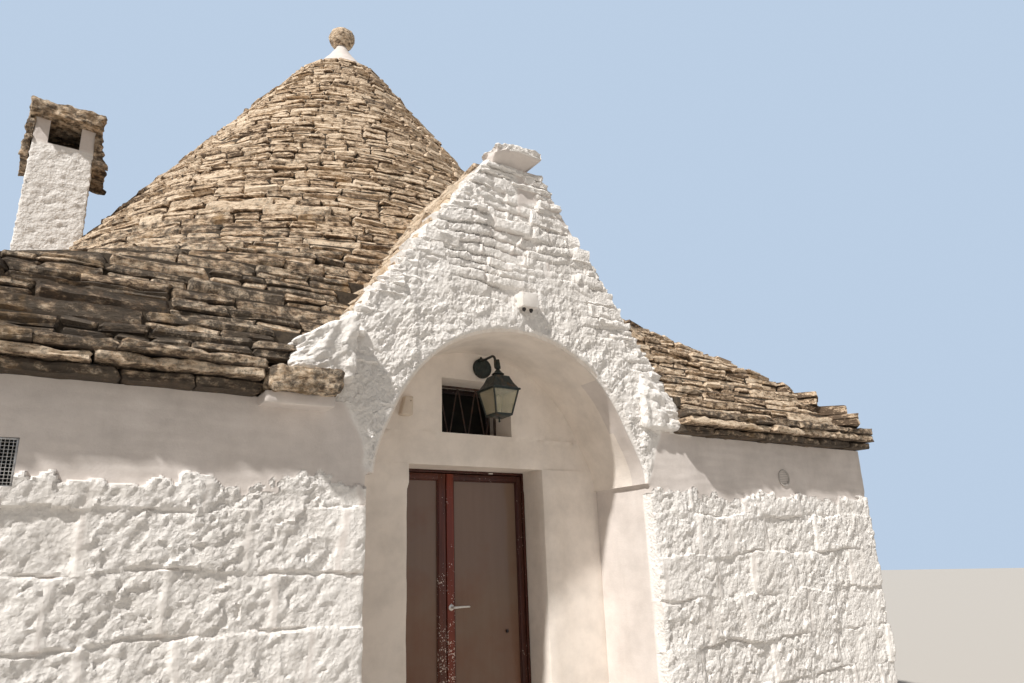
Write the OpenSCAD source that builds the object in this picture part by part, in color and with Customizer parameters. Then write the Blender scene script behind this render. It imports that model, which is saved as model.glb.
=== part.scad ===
// A trullo: a dry stone house with a corbelled cone roof, an arched porch and a glazed door.
// Millimetres. The origin is on the ground under the point of the cone; the porch faces -Y.

/* [House plan] */
// Width between the outer faces of the two party walls
house_w = 8000; // [7600:100:8400]
// Depth from the front wall to the rear wall
house_d = 8000; // [7600:100:8400]
// Thickness of the rubble walls
wall_t = 1200; // [1100:50:1300]
// Height of the walls to the underside of the eaves
wall_h = 2450; // [2400:10:2600]
// Height of the floor over the ground
floor_h = 164; // [120:4:200]

/* [Roof] */
// Height of the point where the sides of the cone would meet
apex_h = 8440; // [8200:20:8700]
// How far the foot of the first course lies outside the line of the walls
roof_foot_out = 100; // [60:10:140]
// Height of one course of roof slabs
course_h = 110; // [100:5:120]
// Courses that change from the square plan to the round one
haunch_courses = 14; // [12:1:15]
// Radius of the vault where the solid crown closes it
crown_seat_r = 500; // [450:10:550]
// Corner radius of the roof at the eaves
corner_r = 300; // [200:20:500]
// Thickness of the two rows of eaves slabs together
eaves_t = 190; // [160:10:220]
// How far the eaves reach out over the walls
eaves_out = 200; // [140:10:240]
// Depth of the eaves slabs that lies on the wall
eaves_seat = 300; // [240:20:400]
// Height where the vault over the room starts to close in
vault_spring_h = 2950; // [2900:25:3050]
// Height where the sides of the vault would meet
vault_apex_h = 7000; // [6900:50:7100]

/* [Porch and gable] */
// Width of the porch between its jambs
porch_w = 2280; // [2200:10:2400]
// Depth of the porch in front of the door wall
porch_depth = 620; // [560:10:680]
// Height of the ledge that the arch stands on
impost_h = 2054; // [2000:6:2100]
// Width of the ledge on each side
impost_ledge = 100; // [80:5:120]
// Height where the two verges of the gable would meet
gable_apex_h = 4760; // [4700:10:4900]
// Width of the porch roof at the height of the wall tops
gable_foot_w = 3350; // [3300:10:3400]
// Thickness of the slabs on the porch roof, measured level
porch_slab_t = 250; // [200:10:300]
// Width of the porch roof where the ridge band lies on it
ridge_seat_w = 480; // [460:10:500]
// Width of the mortar band along the ridge
ridge_w = 300; // [240:10:360]
// Height of the mortar band along the ridge
ridge_t = 110; // [80:10:120]

/* [Doorway and window] */
// Width of the doorway
door_w = 1150; // [1100:10:1200]
// Height of the underside of the lintel
door_top_h = 2214; // [2180:2:2240]
// Depth of the reveal in front of the door frame
reveal = 260; // [220:10:290]
// Width of the window over the door
window_w = 616; // [560:8:640]
// Height of the masonry between the doorway and the window over it
lintel_h = 242; // [242:2:260]
// Height of the window opening
window_h = 419; // [380:1:440]
// Depth of the iron grille behind the face of the door wall
grille_setback = 225; // [180:5:260]

/* [Door joinery] */
// Face width of the door frame
frame_w = 20; // [16:1:30]
// Depth of the door frame
frame_d = 50; // [50:1:60]
// Thickness of the leaves
leaf_t = 45; // [40:1:48]
// Running gap round the leaves
leaf_gap = 6; // [5:1:8]
// Gap between the two leaves
meeting_gap = 10; // [9:1:12]
// Gap between the leaves and the floor
floor_gap = 10; // [8:1:14]
// Width of the narrow leaf
narrow_leaf_w = 400; // [360:5:440]
// Width of the stiles of the leaves
stile_w = 46; // [40:1:60]
// Width of the two stiles that meet
meeting_stile_w = 60; // [54:1:70]
// Height of the top rail of the leaves
top_rail_h = 46; // [40:1:60]
// Height of the bottom rail of the leaves
bottom_rail_h = 140; // [100:5:200]
// Thickness of the panes
pane_t = 6; // [4:1:8]
// Radius of the hinge barrels
barrel_r = 7; // [6:0.5:8]
// Height of one half of a hinge
barrel_h = 40; // [30:5:50]
// Gap between the halves of a hinge
barrel_gap = 0.3; // [0.2:0.1:0.5]
// Height of the lever handle over the floor
lever_h = 1051; // [1000:1:1100]
// Length of the lever from its spindle
lever_len = 135; // [110:5:150]
// Radius of the spindle of the lever
spindle_r = 8; // [7:0.5:9]
// Running clearance of the spindle
spindle_gap = 0.05; // [0.03:0.01:0.08]

/* [Chimney] */
// Place of the middle of the chimney to the left of the cone
chimney_x = -2945; // [-2980:5:-2900]
// Place of the middle of the chimney in front of the cone
chimney_y = -735; // [-800:5:-700]
// Width and depth of the chimney at its foot
chimney_foot = 560; // [520:10:600]
// Width of the chimney at its top
chimney_top = 500; // [480:10:520]
// Height of the chimney over the slabs at its middle
chimney_rise = 1399; // [1300:1:1500]
// Depth of the foot of the chimney in the roof
chimney_depth = 846; // [800:2:900]
// Depth of the flue from the top of the chimney
flue_depth = 1345; // [1300:5:1380]
// Width of the flue and of its mouth
flue_w = 250; // [220:5:280]
// Height of the mouth of the flue
flue_mouth_h = 222; // [180:2:260]

/* [Pinnacle] */
// Height of the white plaster cap
plaster_h = 620; // [560:10:680]
// Radius of the foot of the plaster cap
plaster_foot_r = 523; // [480:1:560]
// Radius of the neck of the plaster cap
neck_r = 65; // [55:5:80]
// Radius of the stone on the point
finial_r = 175; // [150:5:200]
// Height of the stone on the point
finial_h = 320; // [280:10:360]

/* [Fittings] */
// Width of the wall lantern at its roof
lantern_w = 228; // [200:4:240]
// Width of the wall lantern at its foot
lantern_foot_w = 147; // [130:1:160]
// Height of the panes of the lantern
lantern_pane_h = 190; // [160:5:220]
// Distance of the lantern from the wall
lantern_out = 270; // [240:10:300]
// Radius of the back plate of the lantern
plate_r = 80; // [70:5:90]
// Radius of the round vent
vent_r = 75; // [65:5:85]
// Width of the mesh vent
mesh_w = 290; // [250:10:300]
// Height of the mesh vent
mesh_h = 230; // [200:10:250]
// Width of the junction box on the gable
box_w = 140; // [120:5:160]
// Height of the junction box on the gable
box_h = 110; // [90:5:130]
// Depth of the junction box on the gable
box_d = 90; // [70:5:120]

/* [Hidden] */
$fn = 64;
round_fn = 180;
half_w = house_w / 2;
half_d = house_d / 2;
front_y = -half_d;
room_w = house_w - 2 * wall_t;
room_d = house_d - 2 * wall_t;
inner_y = front_y + wall_t;
porch_back_y = front_y + porch_depth;
door_x = 13;
door_l = door_x - door_w / 2;
door_r = door_x + door_w / 2;
frame_y = porch_back_y + reveal;
window_x = 5;
window_sill_h = door_top_h + lintel_h;
window_top_h = window_sill_h + window_h;
arch_r = porch_w / 2 - impost_ledge;
eaves_top_h = wall_h + eaves_t;
vault_r = min(room_w, room_d) / 2;
cone_slope = (apex_h - eaves_top_h) / (half_d + roof_foot_out);
gable_slope = 2 * (gable_apex_h - wall_h) / gable_foot_w;
haunch_top_h = eaves_top_h + haunch_courses * course_h;
crown_seat_h = vault_apex_h - (vault_apex_h - vault_spring_h) * crown_seat_r / vault_r;
cone_courses = floor((crown_seat_h - haunch_top_h) / course_h);
cone_top_h = haunch_top_h + cone_courses * course_h;
crown_top_h = apex_h - plaster_foot_r * cone_slope;
crown_courses = round((crown_top_h - cone_top_h) / course_h);
crown_course_h = (crown_top_h - cone_top_h) / crown_courses;
porch_courses = round((gable_apex_h - wall_h) * (1 - ridge_seat_w / gable_foot_w) / course_h);
ridge_base_h = wall_h + porch_courses * course_h;
seat_gap = 0.3;
big = 20000;
limewash = [0.93, 0.92, 0.89];
limestone = [0.68, 0.60, 0.46];
old_stone = [0.42, 0.38, 0.31];
red_wood = [0.32, 0.08, 0.05];
pane_grey = [0.40, 0.34, 0.32];
iron = [0.10, 0.11, 0.11];

// Radius of the cone at height z, and half the width of the porch roof there
function cone_r(z) = (apex_h - z) / cone_slope;
function verge_x(z) = (gable_apex_h - z) / gable_slope;
// Height of the cone's side at radius r
function cone_r_h(r) = apex_h - r * cone_slope;
// Radius of the vault over the room at height z
function vault_r_at(z) = vault_r * min(1, (vault_apex_h - z) / (vault_apex_h - vault_spring_h));
// Share of the way from the square plan to the round one, eased at both ends
function round_share(i) = let(t = i / (haunch_courses - 1)) t * t * (3 - 2 * t);

module slab(x0, x1, y0, y1, z0, z1) {
    translate([x0, y0, z0]) cube([x1 - x0, y1 - y0, z1 - z0]);
}

// An outline drawn in X and Z, made solid from y0 to y1
module upright(y0, y1) {
    translate([0, y1, 0]) rotate([90, 0, 0]) linear_extrude(y1 - y0) children();
}

// Floors
module floor() {
    color(limewash) slab(-room_w / 2, room_w / 2, inner_y, room_d / 2, 0, floor_h);
}
module porch_floor() {
    color(limewash) {
        slab(-porch_w / 2, porch_w / 2, front_y, porch_back_y, 0, floor_h);
        slab(door_l, door_r, porch_back_y, inner_y, 0, floor_h);
    }
}

// Walls
mesh_right_x = -2880;
mesh_x = mesh_right_x - mesh_w / 2;
mesh_z = 2035;
vent_x = 2766;
vent_z = 2148;
recess_d = 150;
module front_wall_left() {
    color(limewash) difference() {
        slab(-half_w, -porch_w / 2, front_y, inner_y, 0, wall_h);
        slab(mesh_x - mesh_w / 2, mesh_x + mesh_w / 2, front_y - 1, front_y + recess_d,
            mesh_z - mesh_h / 2, mesh_z + mesh_h / 2);
    }
}
module front_wall_right() {
    color(limewash) slab(porch_w / 2, half_w, front_y, inner_y, 0, wall_h);
}
module party_wall_left() {
    color(limewash) slab(-half_w, -room_w / 2, inner_y, room_d / 2, 0, wall_h);
}
module party_wall_right() {
    color(limewash) slab(room_w / 2, half_w, inner_y, room_d / 2, 0, wall_h);
}
module rear_wall() {
    color(limewash) slab(-half_w, half_w, room_d / 2, half_d, 0, wall_h);
}
module door_wall_left() {
    color(limewash) slab(-porch_w / 2, door_l, porch_back_y, inner_y, 0, door_top_h);
}
module door_wall_right() {
    color(limewash) slab(door_r, porch_w / 2, porch_back_y, inner_y, 0, door_top_h);
}

// The masonry core of the gable and the steps of the slabs on it
module porch_core_2d() {
    core_x = verge_x(wall_h) - porch_slab_t;
    polygon([[-core_x, wall_h], [core_x, wall_h], [0, wall_h + core_x * gable_slope]]);
}
module porch_steps_2d() {
    for (i = [0:porch_courses - 1]) {
        z = wall_h + i * course_h;
        step_x = verge_x(z + course_h / 2);
        translate([-step_x, z]) square([2 * step_x, course_h]);
    }
}
module under_ridge_2d() {
    translate([-half_w, 0]) square([house_w, ridge_base_h]);
}
module window_hole(y0, y1) {
    slab(window_x - window_w / 2, window_x + window_w / 2, y0, y1, window_sill_h, window_top_h);
}
module window_wall() {
    color(limewash) difference() {
        upright(porch_back_y, inner_y) difference() {
            union() {
                translate([-porch_w / 2, 0]) square([porch_w, wall_h]);
                intersection() {
                    porch_core_2d();
                    under_ridge_2d();
                }
            }
            translate([-porch_w / 2, 0]) square([porch_w, door_top_h]);
        }
        window_hole(porch_back_y - 1, inner_y + 1);
    }
}
module gable_wall() {
    color(limewash) upright(front_y, porch_back_y) difference() {
        union() {
            translate([-porch_w / 2, impost_h]) square([porch_w, wall_h - impost_h]);
            intersection() {
                porch_core_2d();
                under_ridge_2d();
            }
        }
        translate([0, impost_h]) circle(arch_r);
    }
}
cap_l = 210;
cap_r = 230;
cap_out = 100;
cap_seat = 300;
cap_back_y = front_y + cap_seat;
cap_t = 160;
module gable_cap_stone() {
    color(limewash) slab(-cap_l, cap_r, front_y - cap_out, cap_back_y, ridge_base_h, ridge_base_h + cap_t);
}
module porch_roof() {
    upright(front_y, inner_y) difference() {
        porch_steps_2d();
        porch_core_2d();
    }
}
module porch_roof_left() {
    color(limestone) intersection() {
        porch_roof();
        slab(-big, 0, -big, big, 0, big);
    }
}
module porch_roof_right() {
    color(limestone) intersection() {
        porch_roof();
        slab(0, big, -big, big, 0, big);
    }
}
ridge_tail = 100;
ridge_back_y = inner_y + ridge_tail;
module porch_ridge() {
    color(limewash) slab(-ridge_w / 2, ridge_w / 2, cap_back_y, ridge_back_y,
        ridge_base_h, ridge_base_h + ridge_t);
}

// Eaves
eaves_y = front_y - eaves_out;
seat_y = front_y + eaves_seat;
row_t = eaves_t / 2;
row_step = 50;
end_stone_l = -1800;
end_stone_r = -1380;
end_stone_out = 260;
end_stone_t = 150;
foot_x = verge_x(wall_h + course_h / 2);
module eaves_rows(x0, x1) {
    slab(x0, x1, eaves_y + row_step, seat_y, wall_h, wall_h + row_t);
    slab(x0, x1, eaves_y, seat_y, wall_h + row_t, eaves_top_h);
}
module eaves_front_left() {
    color(old_stone) eaves_rows(-half_w, end_stone_l);
}
module eaves_front_right() {
    color(old_stone) eaves_rows(foot_x, half_w);
}
module eaves_rear() {
    color(old_stone) mirror([0, 1, 0]) eaves_rows(-half_w, half_w);
}
module eaves_end_stone() {
    root_x = -foot_x - seat_gap;
    end_stone_y = front_y - end_stone_out;
    color(old_stone) {
        slab(end_stone_l, end_stone_r, end_stone_y, front_y - seat_gap, wall_h, wall_h + end_stone_t);
        slab(end_stone_l, root_x, end_stone_y, front_y, wall_h, wall_h + end_stone_t);
        slab(end_stone_l, root_x, front_y, seat_y, wall_h, eaves_top_h);
    }
}
corbel_r = end_stone_r - 20;
corbel_out = 150;
corbel_t = 55;
module eaves_corbel() {
    color(limewash) slab(end_stone_l, corbel_r, front_y - corbel_out, front_y, wall_h - corbel_t, wall_h);
}

// The haunch: courses that start as a square with round corners and end as a circle
module quarter_course_2d(a, r) {
    square([a - r, a]);
    square([a, a - r]);
    translate([a - r, a - r]) intersection() {
        circle(r, $fn = round_fn);
        square(r);
    }
}
module haunch_course(i) {
    z = eaves_top_h + i * course_h;
    a = cone_r(z + course_h / 2);
    r = corner_r + (a - corner_r) * round_share(i);
    translate([0, 0, z]) linear_extrude(course_h) intersection() {
        if (r < a) quarter_course_2d(a, r);
        else circle(a, $fn = round_fn);
        square([half_w, a]);
    }
}
module vault_space() {
    cylinder(r = vault_r, h = vault_spring_h, $fn = round_fn);
    translate([0, 0, vault_spring_h]) cylinder(r1 = vault_r, r2 = vault_r_at(cone_top_h),
        h = cone_top_h - vault_spring_h, $fn = round_fn);
}
module haunch_quarter() {
    difference() {
        union() {
            translate([0, 0, wall_h]) cube([half_w, half_d - eaves_seat, eaves_t]);
            for (i = [0:haunch_courses - 1]) haunch_course(i);
        }
        vault_space();
    }
}
module porch_space() {
    upright(-big, inner_y) porch_steps_2d();
    slab(-ridge_w / 2, ridge_w / 2, -big, ridge_back_y, ridge_base_h, ridge_base_h + ridge_t);
}
module haunch_at(mirror_x, mirror_y) {
    mirror([mirror_x, 0, 0]) mirror([0, mirror_y, 0]) haunch_quarter();
}
module chimney_space() {
    slab(chimney_x - chimney_foot / 2, chimney_x + chimney_foot / 2, chimney_y - chimney_foot / 2,
        chimney_y + chimney_foot / 2, chimney_foot_h, big);
}
module haunch_front_left() {
    color(limestone) difference() {
        haunch_at(1, 1);
        porch_space();
        window_hole(-big, -vault_r / 2);
        chimney_space();
    }
}
module haunch_front_right() {
    color(limestone) difference() {
        haunch_at(0, 1);
        porch_space();
        window_hole(-big, -vault_r / 2);
    }
}
module haunch_rear_left() {
    color(limestone) haunch_at(1, 0);
}
module haunch_rear_right() {
    color(limestone) haunch_at(0, 0);
}

// The cone: steps outside and the plastered vault inside, turned a quarter at a time
function outer_steps(z0, n, h) = [for (i = [0:n - 1]) each
    [[cone_r(z0 + (i + 0.5) * h), z0 + i * h], [cone_r(z0 + (i + 0.5) * h), z0 + (i + 1) * h]]];
module cone_quarter(turn) {
    rotate([0, 0, turn]) rotate_extrude(angle = 90, $fn = round_fn)
        polygon(concat(outer_steps(haunch_top_h, cone_courses, course_h),
            [[vault_r_at(cone_top_h), cone_top_h], [vault_r_at(haunch_top_h), haunch_top_h]]));
}
module cone_front_left() {
    color(limestone) difference() {
        cone_quarter(180);
        porch_space();
        chimney_space();
    }
}
module cone_front_right() {
    color(limestone) difference() {
        cone_quarter(270);
        porch_space();
    }
}
module cone_rear_right() {
    color(limestone) cone_quarter(0);
}
module cone_rear_left() {
    color(limestone) cone_quarter(90);
}
module cone_crown() {
    color(limestone) rotate_extrude($fn = round_fn)
        polygon(concat([[0, cone_top_h]], outer_steps(cone_top_h, crown_courses, crown_course_h),
            [[0, crown_top_h]]));
}

// Plaster cap and the stone on it
cap_points = 12;
cap_sweep = 1.2;
module plaster_cap() {
    color(limewash) rotate_extrude() polygon(concat([[0, crown_top_h]],
        [for (i = [0:cap_points]) let(t = i / cap_points)
            [neck_r + (plaster_foot_r - neck_r) * pow(1 - t, cap_sweep), crown_top_h + plaster_h * t]],
        [[0, crown_top_h + plaster_h]]));
}
finial_widest = 0.5;
bowl_points = 10;
// A flattened bowl: shares of the height up to its widest ring, then a low dome over it
module finial_stone() {
    z = crown_top_h + plaster_h;
    foot_r = neck_r + 15;
    color(old_stone) rotate_extrude() polygon(concat([[0, z]],
        [for (i = [0:bowl_points]) let(a = 90 * i / bowl_points)
            [foot_r + (finial_r - foot_r) * sin(a), z + finial_h * finial_widest * (1 - cos(a))]],
        [for (i = [1:bowl_points]) let(a = 90 * i / bowl_points)
            [finial_r * cos(a), z + finial_h * (finial_widest + (1 - finial_widest) * sin(a))]]));
}

// Chimney
chimney_top_h = cone_r_h(norm([chimney_x, chimney_y])) + chimney_rise;
chimney_foot_h = chimney_top_h - chimney_rise - chimney_depth;
module chimney_outline_2d() {
    foot = chimney_foot / 2;
    top = chimney_top / 2;
    polygon([[chimney_x - foot, chimney_foot_h], [chimney_x + foot, chimney_foot_h],
        [chimney_x + top, chimney_top_h], [chimney_x - top, chimney_top_h]]);
}
flue_l = chimney_x - flue_w / 2;
flue_f = chimney_y - flue_w / 2;
chimney_front_y = chimney_y - chimney_foot / 2;
module chimney_shaft() {
    color(limewash) difference() {
        upright(chimney_front_y, chimney_y + chimney_foot / 2) chimney_outline_2d();
        translate([flue_l, flue_f, chimney_top_h - flue_depth]) cube([flue_w, flue_w, big]);
        slab(flue_l, flue_l + flue_w, -big, flue_f + 1, chimney_top_h - flue_mouth_h, big);
    }
}
cap_slab_t = 150;
cap_slab_side = 50;
cap_slab_out = 120;
cap_slab_back = 40;
module chimney_cap_slab() {
    half = chimney_top / 2 + cap_slab_side;
    color(old_stone) slab(chimney_x - half, chimney_x + half, chimney_front_y - cap_slab_out,
        chimney_y + chimney_foot / 2 + cap_slab_back, chimney_top_h, chimney_top_h + cap_slab_t);
}
side_slab_h = 360;
side_slab_t = 40;
side_slab_inset = 20;
// A slab that hangs at a side of the shaft and leans out by flare at its foot
module side_slab(flare) {
    shaft_x = (chimney_foot - chimney_top) / 2 * side_slab_h / (chimney_top_h - chimney_foot_h);
    translate([0, chimney_front_y + side_slab_inset, chimney_top_h])
        upright(0, chimney_foot - 3 * side_slab_inset) translate([chimney_top / 2, 0]) polygon([[0, 0],
            [side_slab_t, 0], [side_slab_t + flare / 4, -side_slab_h / 2],
            [side_slab_t + flare, -side_slab_h], [shaft_x, -side_slab_h]]);
}
left_flare = 20;
right_flare = 75;
module chimney_side_slab_left() {
    color(old_stone) translate([chimney_x, 0, 0]) mirror([1, 0, 0]) side_slab(left_flare);
}
module chimney_side_slab_right() {
    color(old_stone) translate([chimney_x, 0, 0]) side_slab(right_flare);
}

// Door frame, leaves and their lift-off hinges
frame_top = door_top_h - frame_w;
leaf_l = door_l + frame_w + leaf_gap;
leaf_r = door_r - frame_w - leaf_gap;
leaf_foot = floor_h + floor_gap;
leaf_top = frame_top - leaf_gap;
leaf_back_y = frame_y + frame_d;
leaf_front_y = leaf_back_y - leaf_t;
pivot_y = leaf_back_y + barrel_r;
narrow_pivot_x = leaf_l - leaf_gap / 2;
main_pivot_x = leaf_r + leaf_gap / 2;
meeting_x = leaf_l + narrow_leaf_w;
main_l = meeting_x + meeting_gap;
flap_t = 4;
flap_reach = 22;
hinge_zs = [leaf_foot + 260, (leaf_foot + leaf_top) / 2, leaf_top - 260];
module half_hinge(pivot_x, side, z) {
    translate([pivot_x, pivot_y, z]) cylinder(r = barrel_r, h = barrel_h);
    translate([side > 0 ? pivot_x : pivot_x - flap_reach, leaf_back_y, z])
        cube([flap_reach, flap_t, barrel_h]);
}
module door_frame() {
    color(red_wood) {
        slab(door_l, door_l + frame_w, frame_y, leaf_back_y, floor_h, door_top_h);
        slab(door_r - frame_w, door_r, frame_y, leaf_back_y, floor_h, door_top_h);
        slab(door_l, door_r, frame_y, leaf_back_y, frame_top, door_top_h);
        for (z = hinge_zs) {
            half_hinge(narrow_pivot_x, -1, z - barrel_h);
            half_hinge(main_pivot_x, 1, z - barrel_h);
        }
    }
}
module leaf_frame(x0, x1, left_w, right_w) {
    difference() {
        slab(x0, x1, leaf_front_y, leaf_back_y, leaf_foot, leaf_top);
        slab(x0 + left_w, x1 - right_w, leaf_front_y - 1, leaf_back_y + 1,
            leaf_foot + bottom_rail_h, leaf_top - top_rail_h);
    }
}
module leaf_pane(x0, x1, left_w, right_w) {
    mid_y = (leaf_front_y + leaf_back_y) / 2;
    slab(x0 + left_w, x1 - right_w, mid_y - pane_t / 2, mid_y + pane_t / 2,
        leaf_foot + bottom_rail_h, leaf_top - top_rail_h);
}
module narrow_leaf() {
    color(red_wood) {
        leaf_frame(leaf_l, meeting_x, stile_w, meeting_stile_w);
        for (z = hinge_zs) half_hinge(narrow_pivot_x, 1, z + barrel_gap);
    }
}
module narrow_leaf_pane() {
    color(pane_grey) leaf_pane(leaf_l, meeting_x, stile_w, meeting_stile_w);
}
lever_x = main_l + meeting_stile_w / 2;
lever_z = floor_h + lever_h;
module along_y(x, z, y0, y1, r) {
    translate([x, y0, z]) rotate([-90, 0, 0]) cylinder(r = r, h = y1 - y0);
}
module main_leaf() {
    color(red_wood) {
        difference() {
            leaf_frame(main_l, leaf_r, meeting_stile_w, stile_w);
            along_y(lever_x, lever_z, leaf_front_y - 1, leaf_back_y + 1, spindle_r + spindle_gap);
        }
        for (z = hinge_zs) half_hinge(main_pivot_x, -1, z + barrel_gap);
    }
}
module main_leaf_pane() {
    color(pane_grey) leaf_pane(main_l, leaf_r, meeting_stile_w, stile_w);
}
lever_out = 50;
lever_r = 9;
lever_gap = 0.3;
rose_r = 22;
module lever_arm(y) {
    translate([lever_x, y, lever_z]) {
        rotate([0, 90, 0]) cylinder(r = lever_r, h = lever_len);
        sphere(r = lever_r);
    }
}
module door_lever() {
    front = leaf_front_y - lever_out;
    back = leaf_back_y + lever_out;
    color("gainsboro") {
        along_y(lever_x, lever_z, front, back, spindle_r);
        along_y(lever_x, lever_z, leaf_front_y - 8 - lever_gap, leaf_front_y - lever_gap, rose_r);
        along_y(lever_x, lever_z, leaf_back_y + lever_gap, leaf_back_y + 8 + lever_gap, rose_r);
        lever_arm(front);
        lever_arm(back);
    }
}

// Window: an iron grille in front of a small glazed sash
grille_y = porch_back_y + grille_setback;
bar_t = 16;
window_l = window_x - window_w / 2;
window_r = window_x + window_w / 2;
zigzag = 7;
module ring_2d(x0, x1, z0, z1, t) {
    difference() {
        translate([x0, z0]) square([x1 - x0, z1 - z0]);
        translate([x0 + t, z0 + t]) square([x1 - x0 - 2 * t, z1 - z0 - 2 * t]);
    }
}
module window_grille() {
    pitch = (window_w - 2 * bar_t) / zigzag;
    run_h = window_h - bar_t;
    lean = atan(pitch / run_h);
    color(iron) upright(grille_y, grille_y + bar_t) {
        ring_2d(window_l, window_r, window_sill_h, window_top_h, bar_t);
        for (i = [0:zigzag - 1])
            translate([window_l + bar_t + (i + 0.5) * pitch, (window_sill_h + window_top_h) / 2])
                rotate(i % 2 == 0 ? -lean : lean) square([8, run_h], center = true);
    }
}
sash_y = grille_y + 90;
sash_t = 40;
sash_w = 40;
module window_sash() {
    color(red_wood) upright(sash_y, sash_y + sash_t)
        ring_2d(window_l, window_r, window_sill_h, window_top_h, sash_w);
}
module window_pane() {
    color(pane_grey) upright(sash_y + 15, sash_y + 15 + pane_t)
        translate([window_l + sash_w, window_sill_h + sash_w])
            square([window_w - 2 * sash_w, window_h - 2 * sash_w]);
}

// Wall lantern on a cane-shaped bracket
lantern_x = 30;
lantern_y = porch_back_y - lantern_out;
plate_x = 50;
plate_drop = 114;
plate_z = impost_h + arch_r - plate_drop;
plate_t = 25;
arm_r = 7;
arm_bend_r = 45;
arm_rise = 50;
arm_z = plate_z + arm_rise;
socket_r = 22;
socket_h = 75;
socket_drop = 44;
socket_z = arm_z - socket_drop - socket_h;
knob_r = 47;
knob_h = 45;
knob_gap = 16;
knob_z = socket_z - knob_h;
roof_h = 105;
roof_top_w = 120;
roof_top_h = knob_z - knob_gap;
pane_top_h = roof_top_h - roof_h;
pane_foot_h = pane_top_h - lantern_pane_h;
lantern_bar = 6;
lantern_post = 12;
corner_ball_r = 9;
arm_y = lantern_y + 35;
module tapered_2d(z0, w0, z1, w1) {
    polygon([[-w0 / 2, z0], [w0 / 2, z0], [w1 / 2, z1], [-w1 / 2, z1]]);
}
module four_sided(z0, w0, z1, w1) {
    translate([lantern_x, lantern_y, 0]) intersection() {
        upright(-lantern_w, lantern_w) tapered_2d(z0, w0, z1, w1);
        rotate([0, 0, 90]) upright(-lantern_w, lantern_w) tapered_2d(z0, w0, z1, w1);
    }
}
// Width of the glass body of the lantern at height z, without its bars
function pane_w(z) = lantern_foot_w - 2 * lantern_bar
    + (lantern_w - lantern_foot_w) * (z - pane_foot_h) / lantern_pane_h;
module lantern_bracket() {
    color(iron) {
        along_y(plate_x, plate_z, porch_back_y - plate_t, porch_back_y, plate_r);
        translate([lantern_x, arm_y, 0]) {
            translate([0, 0, socket_z + 2 * arm_r])
                cylinder(r = arm_r, h = arm_z - arm_bend_r - socket_z - 2 * arm_r);
            translate([0, arm_bend_r, arm_z - arm_bend_r]) mirror([0, 1, 0]) rotate([90, 0, 90])
                rotate_extrude(angle = 90) translate([arm_bend_r, 0]) circle(arm_r);
        }
        along_y(lantern_x, arm_z, arm_y + arm_bend_r, porch_back_y - plate_t / 2, arm_r);
        along_y(lantern_x, socket_z + 2 * arm_r, lantern_y, arm_y, arm_r);
        translate([lantern_x, arm_y, socket_z + 2 * arm_r]) sphere(r = arm_r);
        translate([lantern_x, lantern_y, socket_z]) cylinder(r = socket_r, h = socket_h);
    }
}
module lantern_cage() {
    post_in = lantern_foot_w / 2 - lantern_post;
    cut_foot = pane_foot_h + lantern_post;
    cut_top = pane_top_h - lantern_post;
    color(iron) {
        four_sided(pane_top_h, lantern_w, roof_top_h, roof_top_w);
        difference() {
            four_sided(pane_foot_h, lantern_foot_w, pane_top_h, lantern_w);
            four_sided(pane_foot_h - 1, pane_w(pane_foot_h - 1), pane_top_h + 1, pane_w(pane_top_h + 1));
            slab(lantern_x - post_in, lantern_x + post_in, -big, big, cut_foot, cut_top);
            slab(-big, big, lantern_y - post_in, lantern_y + post_in, cut_foot, cut_top);
        }
        four_sided(pane_foot_h - lantern_post, lantern_foot_w - 30, pane_foot_h, lantern_foot_w);
        for (sx = [-1, 1]) for (sy = [-1, 1])
            translate([lantern_x + sx * lantern_w / 2, lantern_y + sy * lantern_w / 2, pane_top_h])
                sphere(r = corner_ball_r);
        translate([lantern_x, lantern_y, 0]) {
            translate([0, 0, pane_foot_h - 50]) cylinder(r = 8, h = 45);
            translate([0, 0, roof_top_h]) cylinder(r = socket_r / 2, h = knob_gap);
            translate([0, 0, knob_z]) cylinder(r1 = knob_r, r2 = socket_r / 2, h = knob_h);
        }
    }
}
module lantern_panes() {
    z0 = pane_foot_h + seat_gap;
    z1 = pane_top_h - seat_gap;
    color("ivory") four_sided(z0, pane_w(z0) - 2 * seat_gap, z1, pane_w(z1) - 2 * seat_gap);
}

// Vents
mesh_bar = 4;
mesh_pitch = 25;
module mesh_vent() {
    color(iron) translate([mesh_x, 0, mesh_z]) upright(front_y + 4, front_y + 4 + mesh_bar) {
        ring_2d(-mesh_w / 2, mesh_w / 2, -mesh_h / 2, mesh_h / 2, 10);
        for (x = [-mesh_w / 2 + mesh_pitch:mesh_pitch:mesh_w / 2 - 10])
            translate([x - mesh_bar / 2, -mesh_h / 2]) square([mesh_bar, mesh_h]);
        for (z = [-mesh_h / 2 + mesh_pitch:mesh_pitch:mesh_h / 2 - 10])
            translate([-mesh_w / 2, z - mesh_bar / 2]) square([mesh_w, mesh_bar]);
    }
}
vent_out = 14;
vent_lip = 16;
module round_vent() {
    color("whitesmoke") difference() {
        along_y(vent_x, vent_z, front_y - vent_out, front_y, vent_r);
        along_y(vent_x, vent_z, front_y - vent_out - 1, front_y - vent_out / 2, vent_r - vent_lip);
    }
}

// Boxes for the lamp wiring: one on the gable, one plastered over inside the arch
box_l = -20;
box_z = 3270;
module junction_box() {
    color("whitesmoke") slab(box_l, box_l + box_w, front_y - box_d, front_y, box_z, box_z + box_h);
}
arch_box_l = -660;
arch_box_r = -565;
arch_box_z = 2550;
arch_box_h = 140;
arch_box_d = 60;
module arch_box() {
    color(limewash) slab(arch_box_l, arch_box_r, porch_back_y - arch_box_d, porch_back_y,
        arch_box_z, arch_box_z + arch_box_h);
}

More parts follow.
